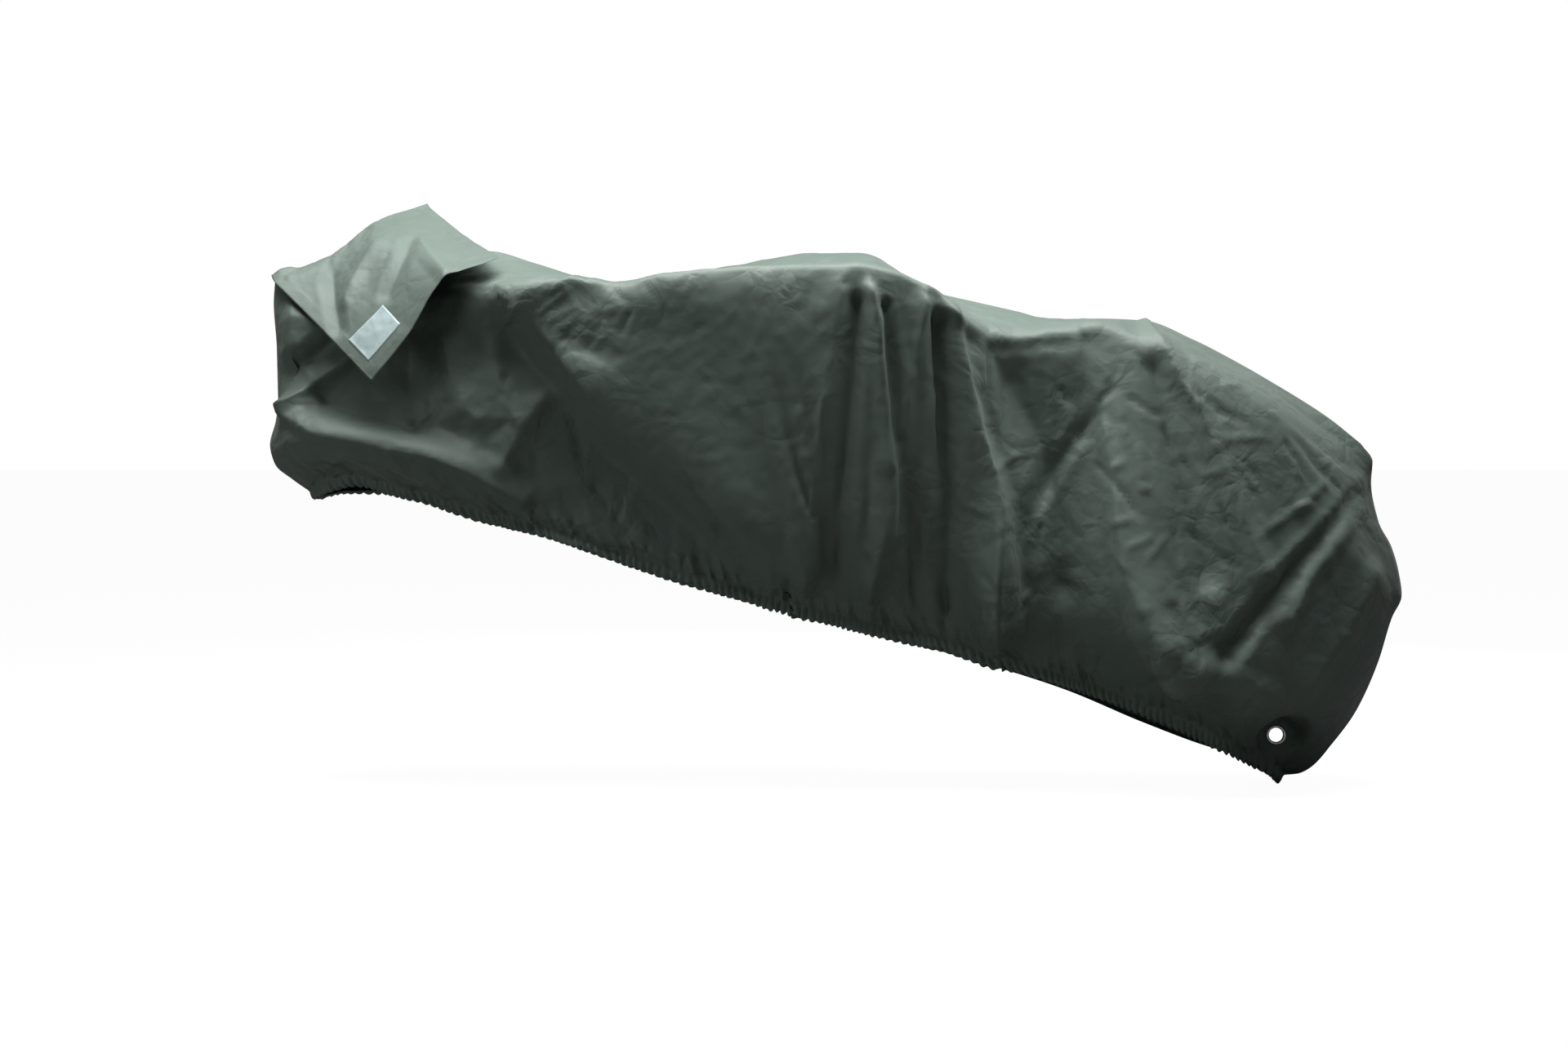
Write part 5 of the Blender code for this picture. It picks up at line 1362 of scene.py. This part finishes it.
# The label's thickness, its height at its border, how much higher it is inside, its waves.
LABEL_THICK, LABEL_LOW, LABEL_PUFF, LABEL_WAVE = 0.0006, 0.0008, 0.0007, 0.0004
LABEL_SEED = 77

# The eyelet's profile: how far its flange stands off and bows, its neck's thickness, how far
# the washer stays inside the flange, the round at its back, and the depths from neck to back.
FLANGE_OFF, FLANGE_BOW, NECK, WASHER_INSET, BACK_ROUND = 0.0004, 0.0024, 0.0012, 0.0013, 0.0009
RING_DEPTHS = (-0.0003, 0.0023, 0.0023, 0.0030, 0.0033, 0.0028)
RING_STEPS = 72

CAMERA_PLACE, CAMERA_PITCH = (0.0, -5.5, 0.816), 2.497
KEY_PLACE, KEY_AIM, KEY_SIZE = (0.1, -0.35, 2.45), (0.1, -0.10, 0.9), (3.2, 1.2)
FILL_PLACE, FILL_AIM, FILL_SIZE = (-3.2, -2.3, 0.9), (0.0, 0.0, 0.65), (1.2, 1.2)
BACK_PLACE, BACK_AIM, BACK_SIZE = (0.9, 3.6, 1.1), (0.0, 0.1, 0.55), (2.2, 1.4)
FLOOR_REACH, FLOOR_GAP = 30.0, 0.001


class COVER_OT_sides(bpy.types.Operator):
    """Build the near and far side of the cover, with folds, creases and gathered hem"""

    bl_idname = "cover.sides"
    bl_label = "Cover Sides"

    def execute(self, context):
        """Adds both sides, each from its own grid, in one cloth material."""
        cloth = context.scene.cover_cloth
        material = cloth_material(cloth, "coated cloth", "hem", (cloth.hem_width, 0.003))
        plans = ((NEAR, "near", *NEAR_GRID, NEAR_FLAT), (FAR, "far", *FAR_GRID, FAR_FLAT))
        for side, word, columns, rows, fine_rows, flat in plans:
            mesh = side_mesh(word + "_cover", side, columns, rows, fine_rows, cloth)
            piece = add_piece(mesh, material)
            add_thickness(piece, cloth.thickness)
            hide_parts(word + "_panel", word + "_eyelet_strip")
        return {"FINISHED"}


class COVER_OT_flap(bpy.types.Operator):
    """Lay the hemmed front flap over the handlebar, with its bare label patch"""

    bl_idname = "cover.flap"
    bl_label = "Front Flap and Label"

    def execute(self, context):
        """Adds the flap, set clear of the front of both sides, then the label on it."""
        cloth, sizes = context.scene.cover_cloth, context.scene.cover_flap
        covers, directions = [], []
        for name in ("near_cover", "far_cover"):
            vertices = bpy.data.objects[name].data.vertices
            places, normals = read_points(vertices, "co") + HOLD, read_points(vertices, "normal")
            front = places[:, 0] < FLAP_REACH
            covers.append(places[front])
            directions.append(normals[front])
        points, cloth_uv, edge_uv = flap_grid(*FLAP_GRID, sizes, cloth, np.concatenate(covers),
                                              np.concatenate(directions))
        number = numbered(points)
        maps = (("cloth", cloth_uv.reshape(-1, 2)), ("edge", edge_uv.reshape(-1, 2)))
        mesh = new_mesh("flap", points.reshape(-1, 3), grid_cells(number)[:, ::-1].tolist(),
                        maps, np.full(number.size, FLAP_SLACK))
        material = cloth_material(cloth, "flap cloth", "edge", (0.003, sizes.hem_width))
        flap = add_piece(mesh, material)
        add_thickness(flap, cloth.thickness)
        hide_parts("front_flap")
        label = add_label(points, sizes)
        return {"FINISHED"}


def add_label(flap_points, sizes):
    """The label patch: a piece of the flap's own grid, raised along the normals, with a
    rolled-over border that sinks back to the flap."""
    columns, rows = np.meshgrid(np.linspace(*LABEL_ACROSS, LABEL_GRID[0]),
                                np.linspace(*LABEL_OVER, LABEL_GRID[1]), indexing="ij")
    columns = columns * (flap_points.shape[0] - 1)
    rows = rows * (flap_points.shape[1] - 1)
    points = sampled(flap_points, columns, rows)
    normals = surface_normals(points, NEAR)
    first, second = along_grid(points)
    edge = np.minimum(np.minimum(first, first[-1:] - first),
                      np.minimum(second, second[:, -1:] - second))
    rise = LABEL_LOW + LABEL_PUFF * smooth_step(edge / 0.002)
    rise += LABEL_WAVE * value_noise(first, second, 0.012, LABEL_SEED)
    points = points + normals * rise[:, :, None]
    on_ends = np.minimum(first, first[-1:] - first) < np.minimum(second, second[:, -1:] - second)
    run = np.where(on_ends, second, first)
    maps = (("cloth", np.stack([first, second], axis=2).reshape(-1, 2)),
            ("edge", np.stack([run, edge], axis=2).reshape(-1, 2)))
    mesh = new_mesh("label", points.reshape(-1, 3),
                    grid_cells(numbered(points))[:, ::-1].tolist(), maps)
    label = add_piece(mesh, label_material(sizes))
    add_thickness(label, LABEL_THICK)
    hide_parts("label_patch")
    return label


class COVER_OT_eyelets(bpy.types.Operator):
    """Turn the two-flanged metal eyelets of both sides"""

    bl_idname = "cover.eyelets"
    bl_label = "Eyelets"

    def execute(self, context):
        """Adds one eyelet to each side."""
        sizes = context.scene.cover_eyelet
        material = metal_material(sizes)
        for side, word in ((NEAR, "near"), (FAR, "far")):
            piece = add_piece(ring_mesh(word + "_eyelet", side, sizes), material)
            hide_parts(word + "_eyelet_ring")
        return {"FINISHED"}


def ring_mesh(name, side, sizes):
    """An eyelet turned about Y: a closed profile of radius and depth, a half round over the
    flange, a straight neck and a flat washer behind the cloth, carried round the circle."""
    bow = np.linspace(0.0, math.pi, 11)
    wide = (sizes.flange - sizes.bore) / 2.0
    radius = np.concatenate([sizes.bore + wide * (1.0 - np.cos(bow)),
                             [sizes.bore + NECK, sizes.bore + NECK,
                              sizes.flange - WASHER_INSET, sizes.flange - WASHER_INSET,
                              sizes.bore + BACK_ROUND, sizes.bore]])
    depth = np.concatenate([-FLANGE_OFF - FLANGE_BOW * np.sin(bow) ** 0.8, RING_DEPTHS])
    turns = np.linspace(0.0, math.tau, RING_STEPS, endpoint=False)[:, None]
    eyelet = EYELETS[side]
    points = np.stack([eyelet.x + radius * np.cos(turns),
                       eyelet_y(side) - side * depth + 0.0 * turns,
                       eyelet.z + radius * np.sin(turns)], axis=2)
    number = numbered(points)
    number = np.concatenate([number, number[:1]])
    number = np.concatenate([number, number[:, :1]], axis=1)
    step = 1 if side == FAR else -1
    return new_mesh(name, points.reshape(-1, 3), grid_cells(number)[:, ::step].tolist())


class COVER_OT_stage(bpy.types.Operator):
    """Set the camera, the soft overhead light, the low lights before and behind, and the floor"""

    bl_idname = "cover.stage"
    bl_label = "Stage"

    def execute(self, context):
        """Adds the camera, the lights, the floor and the world."""
        scene, sizes = context.scene, context.scene.cover_stage
        camera = bpy.data.cameras.new("camera")
        camera.lens = sizes.lens
        camera.sensor_width = 36.0
        camera.clip_end = 100.0
        viewer = bpy.data.objects.new("camera", camera)
        viewer.location = in_frame(CAMERA_PLACE)
        viewer.rotation_euler = (math.radians(90.0 - CAMERA_PITCH), 0.0, 0.0)
        scene.collection.objects.link(viewer)
        scene.camera = viewer
        lights = (("key", sizes.key_power, KEY_PLACE, KEY_AIM, KEY_SIZE),
                  ("fill", sizes.fill_power, FILL_PLACE, FILL_AIM, FILL_SIZE),
                  ("back", sizes.back_power, BACK_PLACE, BACK_AIM, BACK_SIZE))
        for name, power, place, aim, size in lights:
            light = bpy.data.lights.new(name, "AREA")
            light.shape = "RECTANGLE"
            light.size, light.size_y = size
            light.energy = power
            lamp = bpy.data.objects.new(name, light)
            lamp.location = in_frame(place)
            way = Vector(aim) - Vector(place)
            lamp.rotation_euler = way.to_track_quat("-Z", "Y").to_euler()
            scene.collection.objects.link(lamp)
        floor_mesh = bpy.data.meshes.new("floor")
        corners = ((-1, -1), (1, -1), (1, 1), (-1, 1))
        floor_mesh.from_pydata([(x * FLOOR_REACH, y * FLOOR_REACH, -HOLD[2] - FLOOR_GAP)
                                for x, y in corners], [], [(0, 1, 2, 3)])
        floor = bpy.data.objects.new("floor", floor_mesh)
        floor_mesh.materials.append(floor_material(sizes))
        scene.collection.objects.link(floor)
        scene.world = white_world()
        scene.view_settings.view_transform = "Standard"
        return {"FINISHED"}


def floor_material(sizes):
    """A pale matt floor that throws little light back up at the cloth: what the camera sees
    is the floor's own colour, and what the cloth sees is a darker one."""
    material = bpy.data.materials.new("floor")
    material.use_nodes = True
    tree = material.node_tree
    tree.nodes.clear()
    glow = node(tree, "ShaderNodeEmission", {"Color": (*sizes.floor_colour, 1.0)})
    lit = node(tree, "ShaderNodeBsdfDiffuse", {"Color": (0.10, 0.10, 0.10, 1.0)})
    seen = node(tree, "ShaderNodeAddShader", {0: glow.outputs[0], 1: lit.outputs[0]})
    cast = node(tree, "ShaderNodeBsdfDiffuse", {"Color": (0.16, 0.16, 0.16, 1.0)})
    ray = node(tree, "ShaderNodeLightPath")
    mix = node(tree, "ShaderNodeMixShader", {0: ray.outputs["Is Camera Ray"],
                                             1: cast.outputs[0], 2: seen.outputs[0]})
    node(tree, "ShaderNodeOutputMaterial", {"Surface": mix.outputs[0]})
    return material


def white_world():
    """White behind the cover, and a weak even light on it."""
    world = bpy.data.worlds.new("studio")
    world.use_nodes = True
    tree = world.node_tree
    tree.nodes.clear()
    ray = node(tree, "ShaderNodeLightPath")
    strength = node(tree, "ShaderNodeMapRange", {"Value": ray.outputs["Is Camera Ray"],
                                                 "To Min": 0.10, "To Max": 1.0})
    sky = node(tree, "ShaderNodeBackground", {"Color": (1.0, 1.0, 1.0, 1.0),
                                              "Strength": strength.outputs[0]})
    node(tree, "ShaderNodeOutputWorld", {"Surface": sky.outputs[0]})
    return world


class COVER_PT_panel(bpy.types.Panel):
    """Lists the cover's sizes and the operators that build it"""

    bl_label = "Bicycle Cover"
    bl_space_type = "VIEW_3D"
    bl_region_type = "UI"
    bl_category = "Cover"

    def draw(self, context):
        """Draws a box of sizes for each group, then a button for each operator."""
        for name, kind in GROUPS.items():
            box = self.layout.box()
            box.label(text=kind.__doc__)
            for key in kind.__annotations__:
                box.prop(getattr(context.scene, name), key)
        for operator in OPERATORS:
            self.layout.operator(operator.bl_idname)


GROUPS = {"cover_cloth": CoverCloth, "cover_flap": CoverFlap, "cover_eyelet": CoverEyelet,
          "cover_stage": CoverStage}
OPERATORS = (COVER_OT_sides, COVER_OT_flap, COVER_OT_eyelets, COVER_OT_stage)


def register():
    """Registers the classes, and puts a pointer to each group on the scene."""
    for kind in (*GROUPS.values(), *OPERATORS, COVER_PT_panel):
        bpy.utils.register_class(kind)
    for name, kind in GROUPS.items():
        setattr(bpy.types.Scene, name, bpy.props.PointerProperty(type=kind))


def unregister():
    """Takes the pointers off the scene, then the classes away, last one first."""
    for name in GROUPS:
        delattr(bpy.types.Scene, name)
    for kind in reversed((*GROUPS.values(), *OPERATORS, COVER_PT_panel)):
        bpy.utils.unregister_class(kind)


def main():
    """Builds every piece and the stage."""
    register()
    bpy.ops.cover.sides()
    bpy.ops.cover.flap()
    bpy.ops.cover.eyelets()
    bpy.ops.cover.stage()
    bpy.context.view_layer.update()


if __name__ == "__main__":
    main()
